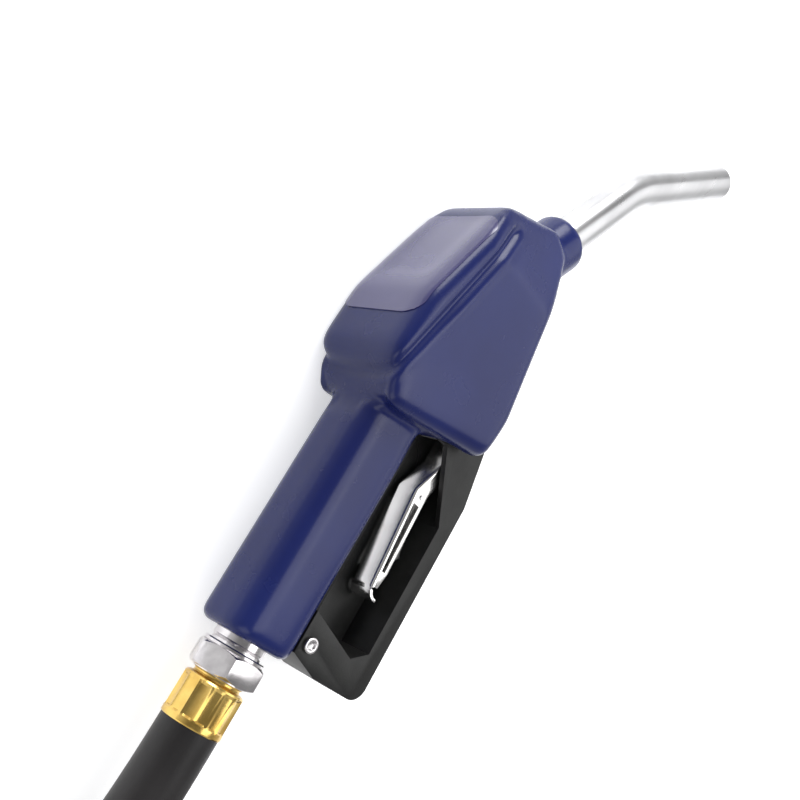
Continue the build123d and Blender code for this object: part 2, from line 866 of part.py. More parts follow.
spout_path, spout_end = spout_line(spout_seat_depth, 0.0, spout_end_length)
tip_plane = Plane(
    origin=(spout_end[0], spout_end[1], mid), x_dir=(0, 0, 1), z_dir=(cos(a1), -sin(a1), 0)
)
with BuildPart() as spout:
    add(tube_along(spout_path, spout_radius, spout_radius - spout_wall))
    with BuildSketch(across_nose(spout_seat_depth)):
        Circle(nose_bore_radius - seat_clearance)
        Circle(spout_radius - spout_wall, mode=Mode.SUBTRACT)
    extrude(amount=bead_length)
    # the sensing port, near the tip on the underside
    with BuildSketch(
        Plane(
            origin=tip_plane.offset(-sensing_setback).origin,
            x_dir=(0, 0, 1),
            z_dir=(-sin(a1), -cos(a1), 0),
        )
    ):
        Circle(port_radius)
    extrude(amount=spout_radius + over, mode=Mode.SUBTRACT)
save(spout, "spout")

with BuildPart() as spout_tip:
    with BuildSketch(tip_plane):
        Circle(spout_radius - spout_wall)
        Circle(spout_radius - spout_wall - tip_wall, mode=Mode.SUBTRACT)
    extrude(amount=-tip_length)
save(spout_tip, "spout_tip")

sensing_path, sensing_end = spout_line(
    spout_seat_depth - over, -sensing_offset, spout_end_length - sensing_setback + port_cover
)
with BuildPart() as sensing_tube:
    add(tube_along(sensing_path, sensing_radius, sensing_radius - sensing_wall))
save(sensing_tube, "sensing_tube")

seal_depth = spout_seat_depth - bead_length
with BuildPart() as spout_seal:
    with BuildSketch(across_nose(seal_depth)):
        Circle(nose_bore_radius - seat_clearance)
        Circle(spout_radius, mode=Mode.SUBTRACT)
    extrude(amount=seal_width)
save(spout_seal, "spout_seal")

with BuildPart() as spout_nut:
    with BuildSketch(across_nose(seal_depth - seal_width)):
        Circle(nose_bore_radius - seat_clearance)
        Circle(spout_radius, mode=Mode.SUBTRACT)
    extrude(amount=seal_depth - seal_width - casting_nose_setback)
    with BuildSketch(across_nose(casting_nose_setback)):
        Circle(nut_flange_radius - flange_gap)
        Circle(spout_radius, mode=Mode.SUBTRACT)
    extrude(amount=casting_nose_setback - nut_flange_front)
save(spout_nut, "spout_nut")

# ---- hand guard
with BuildPart() as hand_guard:
    with BuildSketch(Plane.XY.offset(mid - guard_half_width)) as outline:
        with BuildLine():
            Polyline(
                (cheek_front, cheek_top),
                (cheek_front, cheek_low),
                guard_knee,
                (guard_bar_front, guard_bottom),
                (guard_rear, guard_bottom),
                (guard_rear, guard_heel),
                (guard_seat_rear, guard_seat),
                (guard_seat_front, guard_seat),
                guard_crook,
                (guard_bar_rear, guard_bottom + guard_bar),
                (guard_slope_rear, guard_bottom + guard_bar),
                (cheek_rear, casting_bottom),
                (cheek_rear, cheek_top),
                close=True,
            )
        make_face()
        fillet(outline.vertices().sort_by(Axis.X)[0:2].sort_by(Axis.Y)[0], guard_heel_round)
    extrude(amount=2 * guard_half_width)
    # between the cheeks in front, open below for the trip stem
    with BuildSketch(Plane.XY.offset(mid - boss_half_width - cheek_gap)):
        with BuildLine():
            Polyline(
                (cheek_front + over, boss_top + over),
                (cheek_front + over, guard_bottom - over),
                (guard_open_front, guard_bottom - over),
                (guard_open_front, guard_bottom + guard_bar + over),
                (guard_slope_rear - over, guard_bottom + guard_bar),
                (guard_slope_rear - over, boss_top + over),
                close=True,
            )
        make_face()
    extrude(amount=2 * (boss_half_width + cheek_gap), mode=Mode.SUBTRACT)
    # the slot for the casting's lug
    with BuildSketch(Plane.XY.offset(mid - lug_half_width - lug_gap)):
        with Locations((guard_screw_x, -handle_half_height)):
            Rectangle(
                lug_length + 2 * lug_gap,
                2 * (lug_end + lug_gap - guard_screw_y - handle_half_height),
            )
    extrude(amount=2 * (lug_half_width + lug_gap), mode=Mode.SUBTRACT)
    # the low web on the left closes the gap below the fingers
    with BuildSketch(Plane.XY.offset(mid - guard_half_width)):
        with BuildLine():
            Polyline(
                (guard_web_rear, guard_web_top),
                (cheek_rear + over, guard_web_top),
                (cheek_rear + over, casting_bottom),
                (guard_slope_rear + 2 * over, guard_bottom + guard_bar - over),
                (guard_bar_rear - 2 * over, guard_bottom + guard_bar - over),
                (guard_crook[0] - 2 * over, guard_crook[1]),
                close=True,
            )
        make_face()
    extrude(amount=guard_web)
    # holes: tail screw along the lug's, and one screw in each cheek
    with BuildSketch(Plane.XY.offset(mid - guard_half_width)):
        with Locations((guard_screw_x, guard_screw_y)):
            Circle(guard_screw_radius)
        with Locations((front_screw_x, front_screw_y)):
            Circle(front_screw_radius)
    extrude(amount=2 * guard_half_width, mode=Mode.SUBTRACT)
save(hand_guard, "hand_guard")

with BuildPart() as guard_tail_screw:
    with BuildSketch(Plane.XY.offset(mid - guard_half_width)):
        with Locations((guard_screw_x, guard_screw_y)):
            Circle(guard_screw_radius)
    extrude(amount=2 * guard_half_width)
    with BuildSketch(Plane.XY.offset(mid + guard_half_width)):
        with Locations((guard_screw_x, guard_screw_y)):
            Circle(guard_screw_head)
    extrude(amount=screw_head_height)
    with BuildSketch(Plane.XY.offset(mid - guard_half_width)):
        with Locations((guard_screw_x, guard_screw_y)):
            RegularPolygon(guard_screw_head, 6)
    extrude(amount=-screw_head_height)
    chamfer(guard_tail_screw.faces().sort_by(Axis.Z)[-1].edges(), screw_head_chamfer)
save(guard_tail_screw, "guard_tail_screw")

with BuildPart() as guard_front_screws:
    for side in (-1, 1):
        with BuildSketch(Plane.XY.offset(mid + side * guard_half_width)):
            with Locations((front_screw_x, front_screw_y)):
                Circle(front_screw_radius)
        extrude(amount=-side * front_screw_length)
        with BuildSketch(Plane.XY.offset(mid + side * guard_half_width)):
            with Locations((front_screw_x, front_screw_y)):
                Circle(front_screw_head)
        extrude(amount=side * screw_head_height)
save(guard_front_screws, "guard_front_screws")

# ---- lever: a pressed channel with a curled tail
with BuildPart() as lever:
    with BuildSketch(Plane.XY.offset(mid - lever_half_width)) as lever_side:
        with BuildLine():
            Polyline(
                (lever_front, lever_top),
                (lever_bend, lever_top),
                lever_rise,
                lever_tail,
                lever_curl,
                lever_lip,
                lever_heel,
                lever_belly,
                lever_throat,
                (lever_front, lever_foot),
                close=True,
            )
        make_face()
        fillet(lever_side.vertices(), lever_round)
    extrude(amount=2 * lever_half_width)
    with BuildSketch(Plane.XY.offset(mid - lever_half_width + lever_sheet)):
        with BuildLine():
            Polyline(
                (lever_front + over, lever_top - lever_sheet),
                (lever_bend - over, lever_top - lever_sheet),
                (lever_rise[0] - over, lever_rise[1] - lever_sheet),
                (lever_tail[0] + over, lever_tail[1] - lever_sheet),
                (lever_tail[0] + over, lever_tail[1] - 2 * lever_depth),
                (lever_rise[0] - 2 * over, lever_rise[1] - 3 * lever_depth),
                (lever_front + over, trip_eye_y - 2 * lever_depth),
                close=True,
            )
        make_face()
    extrude(amount=2 * (lever_half_width - lever_sheet), mode=Mode.SUBTRACT)
    # the web is cut back around the trip stem, and both walls take the pin
    with BuildSketch(Plane.XY.offset(mid - lever_half_width + lever_sheet)):
        with Locations((trip_x, lever_top)):
            Rectangle(2 * (trip_radius + lever_cutback), 4 * lever_sheet)
    extrude(amount=2 * (lever_half_width - lever_sheet), mode=Mode.SUBTRACT)
    with BuildSketch(Plane.XY.offset(mid - lever_half_width)):
        with Locations((trip_x, trip_eye_y)):
            Circle(pin_radius + run_gap)
        with Locations((clip_x, clip_y)):
            Circle(clip_pin_radius)
    extrude(amount=2 * lever_half_width, mode=Mode.SUBTRACT)
save(lever, "lever")

with BuildPart() as lever_pin:
    with BuildSketch(Plane.XY.offset(mid - lever_half_width - lever_pin_proud)):
        with Locations((trip_x, trip_eye_y)):
            Circle(pin_radius)
    extrude(amount=2 * (lever_half_width + lever_pin_proud))
save(lever_pin, "lever_pin")

# ---- hold-open clip on its own pin in the lever
with BuildPart() as hold_open_clip:
    with BuildSketch(Plane.XY.offset(mid - clip_half_width)):
        with BuildLine():
            Polyline(
                (clip_x, clip_y - clip_eye_radius + clip_sheet),
                (clip_end[0], clip_end[1] + clip_sheet),
                clip_end,
                clip_lip,
                clip_heel,
                (clip_x, clip_y - clip_eye_radius),
                close=True,
            )
        make_face()
    extrude(amount=2 * clip_half_width)
    for side in (-1, 1):
        with BuildSketch(Plane.XY.offset(mid + side * clip_half_width)):
            with Locations((clip_x, clip_y)):
                Circle(clip_eye_radius)
        extrude(amount=-side * clip_sheet)
    with BuildSketch(Plane.XY.offset(mid - clip_half_width)):
        with Locations((clip_x, clip_y)):
            Circle(clip_pin_radius + run_gap)
    extrude(amount=2 * clip_half_width, mode=Mode.SUBTRACT)
save(hold_open_clip, "hold_open_clip")

with BuildPart() as clip_pin:
    with BuildSketch(Plane.XY.offset(mid - lever_half_width - clip_pin_proud)):
        with Locations((clip_x, clip_y)):
            Circle(clip_pin_radius)
    extrude(amount=2 * (lever_half_width + clip_pin_proud))
save(clip_pin, "clip_pin")

with BuildPart() as clip_spring:
    spring_room = 2 * (clip_half_width - clip_sheet - clip_spring_gap)
    add(
        coil_spring(
            Plane(origin=(clip_x, clip_y, mid - spring_room / 2), z_dir=(0, 0, 1)),
            clip_pin_radius + run_gap + clip_wire / 2,
            clip_wire,
            spring_room,
            short_spring_turns,
        )
    )
save(clip_spring, "clip_spring")

# ---- name plate, let into the sloping top face
with BuildPart() as name_plate:
    with BuildSketch(plate_plane.offset(-plate_depth)):
        RectangleRounded(plate_length, 2 * plate_half_width, plate_corner)
    extrude(amount=plate_depth + plate_proud)
save(name_plate, "name_plate")

# ---- inlet fitting, strainer and the hose's near coupling
flange_x = handle_rear - neck_length
with BuildPart() as inlet_adapter:
    with BuildSketch(along_handle(flange_x)):
        Circle(neck_radius)
    extrude(amount=neck_length)
    with BuildSketch(along_handle(handle_rear)):
        Circle(inlet_radius)
    extrude(amount=thread_length)
    with BuildSketch(along_handle(flange_x)):
        RegularPolygon(hex_flats / 2, 6, major_radius=False)
    extrude(amount=-hex_length)
    chamfer(inlet_adapter.faces().sort_by(Axis.X)[0].edges(), hex_chamfer)
    with BuildSketch(along_handle(flange_x - hex_length)):
        Circle(stem_bore + stem_wall)
    extrude(amount=hex_length + neck_length + thread_length, mode=Mode.SUBTRACT)
save(inlet_adapter, "inlet_adapter")

with BuildPart() as inlet_seal:
    with BuildSketch(along_handle(handle_rear + thread_length)):
        Circle(inlet_radius)
        Circle(inlet_radius - inlet_seal_width, mode=Mode.SUBTRACT)
    extrude(amount=inlet_seal_height)
save(inlet_seal, "inlet_seal")

with BuildPart() as inlet_strainer:
    with BuildSketch(along_handle(handle_rear + thread_length + inlet_seal_height)):
        Circle(inlet_radius - flange_gap)
        Circle(strainer_radius - strainer_wall, mode=Mode.SUBTRACT)
    extrude(amount=inlet_depth - thread_length - inlet_seal_height)
    with BuildSketch(along_handle(handle_rear + inlet_depth)):
        Circle(strainer_radius)
    with BuildSketch(along_handle(handle_rear + inlet_depth + strainer_length)):
        Circle(strainer_radius / 3)
    loft()
    with BuildSketch(along_handle(handle_rear + inlet_depth)):
        Circle(strainer_radius - strainer_wall)
    with BuildSketch(along_handle(handle_rear + inlet_depth + strainer_length - strainer_wall)):
        Circle(strainer_radius / 3 - strainer_wall)
    loft(mode=Mode.SUBTRACT)
save(inlet_strainer, "inlet_strainer")


def ferrule_form(end):
    """A crimped ferrule with flutes, standing on a plane that faces away from the hose."""
    with BuildPart() as ferrule:
        with BuildSketch(end):
            Circle(ferrule_radius)
            with PolarLocations(ferrule_radius + over, flute_count):
                Circle(over + flute_depth, mode=Mode.SUBTRACT)
        extrude(amount=-ferrule_length)
        for depth in (0.0, ferrule_length - ferrule_rim):
            with BuildSketch(end.offset(-depth)):
                Circle(ferrule_radius)
            extrude(amount=-ferrule_rim)
        with BuildSketch(end):
            Circle(stem_bore + stem_wall)
        extrude(amount=-ferrule_length, mode=Mode.SUBTRACT)
    return ferrule.part


with BuildPart() as near_ferrule:
    add(ferrule_form(along_handle(flange_x - hex_length)))
save(near_ferrule, "near_ferrule")

hose_start = flange_x - hex_length - ferrule_length
with BuildPart() as near_hose_stem:
    with BuildSketch(along_handle(hose_start)):
        Circle(stem_bore + stem_wall)
        Circle(stem_bore, mode=Mode.SUBTRACT)
    extrude(amount=ferrule_length + hex_length)
save(near_hose_stem, "near_hose_stem")

# ---- hose: straight runs joined by arcs, then the put-away coil
outer_turn = coil_radius + hose_radius
hose_route = [
    (hose_start, 0.0, mid),
    *hose_points,
    (coil_x, coil_y + outer_turn, hose_radius),
]
runs = [
    sqrt(sum((b - a) ** 2 for a, b in zip(p, q)))
    for p, q in zip(hose_route, hose_route[1:])
]
bends = []
for before, here, after, run_in, run_out in zip(
    hose_route, hose_route[1:], hose_route[2:], runs, runs[1:]
):
    dot = sum((b - a) * (c - b) for a, b, c in zip(before, here, after))
    half_turn = acos(min(1.0, dot / run_in / run_out)) / 2
    bends.append(run_share * min(run_in, run_out) / tan(half_turn))
print("hose runs", [round(r, 1) for r in runs], "radii", [round(r, 1) for r in bends])
with BuildLine() as hose_line:
    FilletPolyline(*hose_route, radius=bends)
with BuildPart() as hose:
    add(tube_along(hose_line.line, hose_radius, 0.0))
hose_length = sum(edge.length for edge in hose_line.edges())
print("hose", hose.part.volume, "of", pi * hose_radius**2 * hose_length, "length", hose_length)
save(hose, "hose")

top_layer = 3 * hose_radius - lay_in
with BuildPart() as hose_coil:
    with BuildSketch(Plane(origin=(coil_x, coil_y, 0), x_dir=(0, 1, 0), z_dir=(1, 0, 0))) as low:
        with Locations((coil_radius, hose_radius)):
            SlotOverall(4 * hose_radius, 2 * hose_radius)
    revolve(axis=Axis((coil_x, coil_y, 0), (0, 0, 1)))
    with BuildSketch(Plane(origin=(coil_x, coil_y, 0), x_dir=(0, 1, 0), z_dir=(1, 0, 0))) as high:
        with Locations((outer_turn, top_layer)):
            Circle(hose_radius)
    revolve(axis=Axis((coil_x, coil_y, 0), (0, 0, 1)), revolution_arc=top_turn_sweep)
save(hose_coil, "hose_coil")

# ---- the pump end of the hose lies on the coil
far_gap = 0.5
far_turn = radians(90.0 + top_turn_sweep)
far_height = 2 * hose_radius + hex_flats / 2 + far_gap
far_plane = Plane(
    origin=(
        coil_x + outer_turn * cos(far_turn),
        coil_y + outer_turn * sin(far_turn),
        far_height,
    ),
    x_dir=(0, 0, 1),
    z_dir=(-sin(far_turn), cos(far_turn), 0),
)
with BuildPart() as far_ferrule:
    add(ferrule_form(far_plane.offset(ferrule_length)))
save(far_ferrule, "far_ferrule")

with BuildPart() as far_coupling:
    with BuildSketch(far_plane.offset(ferrule_length)):
        RegularPolygon(hex_flats / 2, 6, major_radius=False, rotation=30)
    extrude(amount=hex_length)
    with BuildSketch(far_plane.offset(ferrule_length + hex_length)):
        Circle(inlet_radius)
    extrude(amount=thread_length)
    chamfer(far_coupling.faces().sort_by(Axis((0, 0, 0), far_plane.z_dir))[-1].edges(), thread_chamfer)
    with BuildSketch(far_plane):
        Circle(stem_bore + stem_wall)
    extrude(amount=ferrule_length)
    with BuildSketch(far_plane):
        Circle(stem_bore)
    extrude(amount=ferrule_length + hex_length + thread_length, mode=Mode.SUBTRACT)
save(far_coupling, "far_coupling")
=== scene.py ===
import math

import bmesh
import bpy
from mathutils import Matrix, Vector


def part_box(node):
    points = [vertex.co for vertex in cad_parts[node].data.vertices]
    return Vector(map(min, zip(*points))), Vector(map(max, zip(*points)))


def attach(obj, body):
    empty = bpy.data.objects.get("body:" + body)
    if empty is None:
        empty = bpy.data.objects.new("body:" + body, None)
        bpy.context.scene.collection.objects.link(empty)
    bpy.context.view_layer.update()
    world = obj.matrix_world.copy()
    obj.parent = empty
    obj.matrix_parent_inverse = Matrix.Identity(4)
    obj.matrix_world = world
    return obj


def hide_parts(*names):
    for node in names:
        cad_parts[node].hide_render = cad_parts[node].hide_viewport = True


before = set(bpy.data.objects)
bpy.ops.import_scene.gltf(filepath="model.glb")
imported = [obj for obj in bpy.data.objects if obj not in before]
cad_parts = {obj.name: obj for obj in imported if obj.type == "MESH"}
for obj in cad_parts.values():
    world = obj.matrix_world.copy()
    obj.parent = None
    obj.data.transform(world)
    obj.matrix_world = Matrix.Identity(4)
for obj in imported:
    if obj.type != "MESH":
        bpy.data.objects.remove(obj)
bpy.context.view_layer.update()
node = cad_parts
MID = 0.033  # the nozzle's middle plane above the floor, as it lies on its left side
ALONG_HANDLE = (0.0, math.pi / 2, 0.0)  # lays a new circle's or cylinder's axis along the handle

# ---- camera
# A normal lens held above the tail of the nozzle and looking along it, rolled so that
# the nose points up and to the right.
lens_data = bpy.data.cameras.new("camera")
lens_data.lens = 43.5
lens_data.sensor_width = 36.0
camera = bpy.data.objects.new("camera", lens_data)
bpy.context.scene.collection.objects.link(camera)
look = Vector((0.2909, -0.6111, -0.7356)).normalized()
right = Vector((0.4880, -0.5671, 0.6634))
right = (right - look * right.dot(look)).normalized()
up = right.cross(look)
facing = Matrix((right, up, -look)).transposed().to_4x4()
camera.matrix_world = Matrix.Translation((-0.1887, 0.3060, 0.4122)) @ facing
bpy.context.scene.camera = camera


# ---- finishes
# Every material is one plain finish whose colour, roughness and relief can vary by noise.
# The noise is given by its scale and, where they aren't the usual ones, its detail and stretch.
def shader_of(material):
    """The one shader of a material."""
    return material.node_tree.nodes["Principled BSDF"]


def finish(name, colour, roughness, metallic=0.0, ior=None):
    """A material in one plain finish."""
    made = bpy.data.materials.new(name)
    made.use_nodes = True
    inputs = shader_of(made).inputs
    inputs["Base Color"].default_value = (*colour, 1)
    inputs["Roughness"].default_value = roughness
    inputs["Metallic"].default_value = metallic
    if ior:
        inputs["IOR"].default_value = ior
    return made


def grain(material, scale, detail=4.0, stretch=(1, 1, 1)):
    """Noise that stays put in the piece, as a number from 0 to 1."""
    nodes, links = material.node_tree.nodes, material.node_tree.links
    where = nodes.new("ShaderNodeTexCoord")
    spread = nodes.new("ShaderNodeMapping")
    spread.inputs["Scale"].default_value = stretch
    noise = nodes.new("ShaderNodeTexNoise")
    noise.inputs["Scale"].default_value = scale
    noise.inputs["Detail"].default_value = detail
    links.new(where.outputs["Object"], spread.inputs["Vector"])
    links.new(spread.outputs["Vector"], noise.inputs["Vector"])
    return noise.outputs["Fac"]


def mottled(material, low, high, *noise):
    """Lets a finish drift between two colours."""
    nodes, links = material.node_tree.nodes, material.node_tree.links
    ramp = nodes.new("ShaderNodeValToRGB")
    for stop, position, colour in zip(ramp.color_ramp.elements, (0.35, 0.65), (low, high)):
        stop.position = position
        stop.color = (*colour, 1)
    links.new(grain(material, *noise), ramp.inputs["Fac"])
    links.new(ramp.outputs["Color"], shader_of(material).inputs["Base Color"])


def worn(material, low, high, *noise):
    """Lets a finish's roughness drift from low to high."""
    nodes, links = material.node_tree.nodes, material.node_tree.links
    spread = nodes.new("ShaderNodeMapRange")
    spread.inputs["To Min"].default_value = low
    spread.inputs["To Max"].default_value = high
    links.new(grain(material, *noise), spread.inputs["Value"])
    links.new(spread.outputs["Result"], shader_of(material).inputs["Roughness"])


def raised(material, strength, distance, *noise):
    """Gives a finish a fine relief."""
    nodes, links = material.node_tree.nodes, material.node_tree.links
    relief = nodes.new("ShaderNodeBump")
    relief.inputs["Strength"].default_value = strength
    relief.inputs["Distance"].default_value = distance
    links.new(grain(material, *noise), relief.inputs["Height"])
    links.new(relief.outputs["Normal"], shader_of(material).inputs["Normal"])


# ---- floor and light
# A white floor that glows a little where it is seen, a surround that looks white at the horizon
# and grey overhead, and four large soft boxes. As a light the surround is even and dim.
FLOOR_SIZE = 9.0
FLOOR_GLOW = 0.52
SURROUND_LIGHT = 0.4


def seen_directly(nodes, links):
    """1 where a surface is seen by the camera, in a reflection or through glass, else 0."""
    path = nodes.new("ShaderNodeLightPath")
    mirrored = nodes.new("ShaderNodeMath")
    mirrored.operation = "MAXIMUM"
    links.new(path.outputs["Is Camera Ray"], mirrored.inputs[0])
    links.new(path.outputs["Is Glossy Ray"], mirrored.inputs[1])
    through = nodes.new("ShaderNodeMath")
    through.operation = "MAXIMUM"
    links.new(mirrored.outputs[0], through.inputs[0])
    links.new(path.outputs["Is Transmission Ray"], through.inputs[1])
    return through.outputs[0]


bpy.ops.object.select_all(action="DESELECT")
bpy.ops.mesh.primitive_plane_add(size=FLOOR_SIZE, location=(0.0, 0.0, -0.0002))
floor = bpy.context.object
floor.name = "floor"
floor_paint = finish("floor_paint", (0.93, 0.93, 0.93), 0.9)
nodes, links = floor_paint.node_tree.nodes, floor_paint.node_tree.links
shader = shader_of(floor_paint)
shader.inputs["Specular IOR Level"].default_value = 0.1
shader.inputs["Emission Color"].default_value = (1.0, 1.0, 1.0, 1)
glow = nodes.new("ShaderNodeMath")
glow.operation = "MULTIPLY"
glow.inputs[1].default_value = FLOOR_GLOW
links.new(seen_directly(nodes, links), glow.inputs[0])
links.new(glow.outputs[0], shader.inputs["Emission Strength"])
floor.data.materials.append(floor_paint)

world = bpy.data.worlds.new("surround")
bpy.context.scene.world = world
world.use_nodes = True
nodes, links = world.node_tree.nodes, world.node_tree.links
ambient = nodes["Background"]
ambient.inputs["Color"].default_value = (0.94, 0.96, 1.0, 1)
ambient.inputs["Strength"].default_value = SURROUND_LIGHT
seen = nodes.new("ShaderNodeBackground")
direction = nodes.new("ShaderNodeTexCoord")
upward = nodes.new("ShaderNodeSeparateXYZ")
overhead = nodes.new("ShaderNodeMapRange")
for socket, value in (("From Min", 0.15), ("From Max", 0.7), ("To Min", 1.0), ("To Max", 0.3)):
    overhead.inputs[socket].default_value = value
links.new(direction.outputs["Generated"], upward.inputs["Vector"])
links.new(upward.outputs["Z"], overhead.inputs["Value"])
links.new(overhead.outputs["Result"], seen.inputs["Strength"])
switch = nodes.new("ShaderNodeMixShader")
links.new(seen_directly(nodes, links), switch.inputs["Fac"])
links.new(ambient.outputs[0], switch.inputs[1])
links.new(seen.outputs[0], switch.inputs[2])
links.new(switch.outputs[0], nodes["World Output"].inputs["Surface"])


def soft_box(name, place, aim, size, power):
    """A large rectangular lamp that faces a point."""
    lamp = bpy.data.lights.new(name, "AREA")
    lamp.shape = "RECTANGLE"
    lamp.size, lamp.size_y = size
    lamp.energy = power
    box = bpy.data.objects.new(name, lamp)
    bpy.context.scene.collection.objects.link(box)
    box.location = place
    box.rotation_euler = (Vector(aim) - Vector(place)).to_track_quat("-Z", "Y").to_euler()


soft_box(
    "over_right_side", place=(0.1, -0.35, 1.1), aim=(0.0, 0.0, 0.0), size=(0.9, 0.7), power=5.0
)
soft_box(
    "beyond_lever", place=(0.62, -0.95, 1.1), aim=(0.02, 0.0, 0.05), size=(1.5, 1.1), power=7.5
)
soft_box(
    "ahead_of_nose", place=(0.95, 0.45, 0.5), aim=(-0.02, 0.0, 0.03), size=(0.7, 0.5), power=9.0
)
soft_box("behind_tail", place=(-0.9, 0.35, 0.8), aim=(-0.1, 0.0, 0.03), size=(0.8, 0.8), power=3.0)
bpy.context.scene.view_settings.view_transform = "Standard"


def eased(value, start, end):
    """0 before start and 1 after end, with a smooth change between."""
    share = min(max((value - start) / (end - start), 0.0), 1.0)
    return share * share * (3 - 2 * share)


def bell(distance, width):
    """1 at no distance, with a smooth fall to 0 on both sides."""
    return math.exp(-((distance / width) ** 2))


def alone(piece):
    """Makes a piece the only selected and the active one."""
    bpy.ops.object.select_all(action="DESELECT")
    piece.select_set(True)
    bpy.context.view_layer.objects.active = piece


def pick(piece, elements, wanted):
    """Selects only those faces or edges that fit, in the mesh that is open."""
    bpy.ops.mesh.select_all(action="DESELECT")
    shape = bmesh.from_edit_mesh(piece.data)
    for element in getattr(shape, elements):
        element.select_set(wanted(element))
    bmesh.update_edit_mesh(piece.data)


def dress(names, material):
    """Gives CAD nodes that stay their material."""
    for name in names:
        node[name].data.materials.clear()
        node[name].data.materials.append(material)


def lone_copy(node_name, name):
    """A copy of a CAD node with its doubles merged and its flats whole, alone selected."""
    piece = bpy.data.objects.new(name, node[node_name].data.copy())
    bpy.context.scene.collection.objects.link(piece)
    alone(piece)
    bpy.ops.object.mode_set(mode="EDIT")
    bpy.ops.mesh.select_all(action="SELECT")
    bpy.ops.mesh.remove_doubles(threshold=0.000005)
    bpy.ops.mesh.dissolve_limited(angle_limit=math.radians(0.5))
    bpy.ops.object.mode_set(mode="OBJECT")
    return piece


def applied(piece, kind, **settings):
    """Adds a modifier to a piece and applies it."""
    modifier = piece.modifiers.new(kind.lower(), kind)
    for setting, value in settings.items():
        setattr(modifier, setting, value)
    alone(piece)
    bpy.ops.object.modifier_apply(modifier=modifier.name)


def bevelled(piece, width, segments, angle):
    """Rounds a piece's edges that are sharper than the angle."""
    applied(
        piece,
        "BEVEL",
        width=width,
        segments=segments,
        limit_method="ANGLE",
        angle_limit=math.radians(angle),
    )


def smoothed(piece, angle):
    """Soft shading that keeps the edges sharper than the angle."""
    alone(piece)
    bpy.ops.object.shade_smooth_by_angle(angle=math.radians(angle))


def relaxed(piece, iterations, weights=()):
    """Evens a piece out, and only where its vertices have weights if weights are given."""
    where = {}
    if weights:
        group = piece.vertex_groups.new(name="relaxed")
        for index, weight in weights:
            group.add([index], weight, "REPLACE")
        where["vertex_group"] = group.name
    applied(piece, "SMOOTH", factor=0.5, iterations=iterations, **where)
    piece.vertex_groups.clear()


def stands_for(piece, material, slot, body, *names):
    """Gives a finished piece its material, its body and the CAD nodes that it replaces."""
    piece.data.materials.clear()
    piece.data.materials.append(material)
    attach(piece, body)
    if names:
        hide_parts(*names)


def turned(name, rings, sides=64):
    """A turned piece on the handle's axis, from its rings of distance and radius."""
    start, radius = rings[0]
    bpy.ops.object.select_all(action="DESELECT")
    bpy.ops.mesh.primitive_circle_add(
        vertices=sides, radius=radius, location=(start, 0.0, MID), rotation=ALONG_HANDLE
    )
    piece = bpy.context.object
    piece.name = name
    bpy.ops.object.transform_apply(location=True, rotation=True, scale=True)
    bpy.ops.object.mode_set(mode="EDIT")
    bpy.ops.mesh.select_mode(type="VERT")
    bpy.ops.mesh.select_all(action="SELECT")
    for (before, radius_before), (here, radius_here) in zip(rings, rings[1:]):
        share = radius_here / radius_before
        bpy.ops.mesh.extrude_region_move(
            TRANSFORM_OT_translate={"value": (here - before, 0.0, 0.0)}
        )
        bpy.ops.transform.resize(value=(1.0, share, share), center_override=(here, 0.0, MID))
    bpy.ops.mesh.select_all(action="SELECT")
    bpy.ops.mesh.remove_doubles(threshold=0.00001)
    bpy.ops.mesh.normals_make_consistent(inside=False)
    bpy.ops.object.mode_set(mode="OBJECT")
    return piece


# ---- delivery hose
# Three quarter inch fuel hose with a black synthetic rubber cover, crimped into its coupling
# at the handle. It comes down to the floor, where its spare length is wound into a coil: the
# first turn lies outside, the next one inside it, and the rest climbs back on to the first.
HOSE_RADIUS = 0.0155
HOSE_LINE = [
    (-0.229, 0.0, 0.033),
    (-0.270, 0.0, 0.033),
    (-0.318, 0.003, 0.0285),
    (-0.366, 0.0095, 0.0205),
    (-0.412, 0.017, 0.016),
]
COIL_X, COIL_Y, COIL_RADIUS = -0.456, -0.167, 0.172
COIL_START, COIL_SWEEP, COIL_STEPS = 90.0, 890.0, 60  # angles in degrees
MOVES_IN, CLIMBS, MOVES_OUT = (330, 450), (620, 740), (730, 880)  # from and to these angles
COIL_GAP = 0.001
LAYER = 2.02  # from one layer's height to the next, in hose radii
FLOOR_GAP = 0.0003

coil_points = []
for step in range(COIL_STEPS + 1):
    turn = COIL_START + step * COIL_SWEEP / COIL_STEPS
    aside = 1 - 2 * eased(turn, *MOVES_IN) + 2 * eased(turn, *MOVES_OUT)
    from_centre = COIL_RADIUS + HOSE_RADIUS * aside + COIL_GAP
    coil_points.append(
        (
            COIL_X + from_centre * math.cos(math.radians(turn)),
            COIL_Y + from_centre * math.sin(math.radians(turn)),
            HOSE_RADIUS * (1 + LAYER * eased(turn, *CLIMBS)) + FLOOR_GAP,
        )
    )
hose_curve = bpy.data.curves.new("delivery_hose", "CURVE")
hose_curve.dimensions = "3D"
hose_curve.bevel_depth = HOSE_RADIUS
hose_curve.bevel_resolution = 9
hose_curve.resolution_u = 8
hose_curve.use_fill_caps = True
line = hose_curve.splines.new("NURBS")
hose_points = HOSE_LINE + coil_points
line.points.add(len(hose_points) - 1)
for point, place in zip(line.points, hose_points):
    point.co = (*place, 1.0)
line.order_u = 3
line.use_endpoint_u = True
delivery_hose = bpy.data.objects.new("delivery_hose", hose_curve)
bpy.context.scene.collection.objects.link(delivery_hose)
rubber_cover = finish("hose_rubber", (0.010, 0.009, 0.0095), 0.42, ior=1.4)
mottled(rubber_cover, (0.007, 0.006, 0.0065), (0.018, 0.016, 0.0165), 14.0)
worn(rubber_cover, 0.33, 0.5, 55.0)
raised(rubber_cover, 0.35, 0.0002, 900.0, 3.0, (0.35, 1, 1))
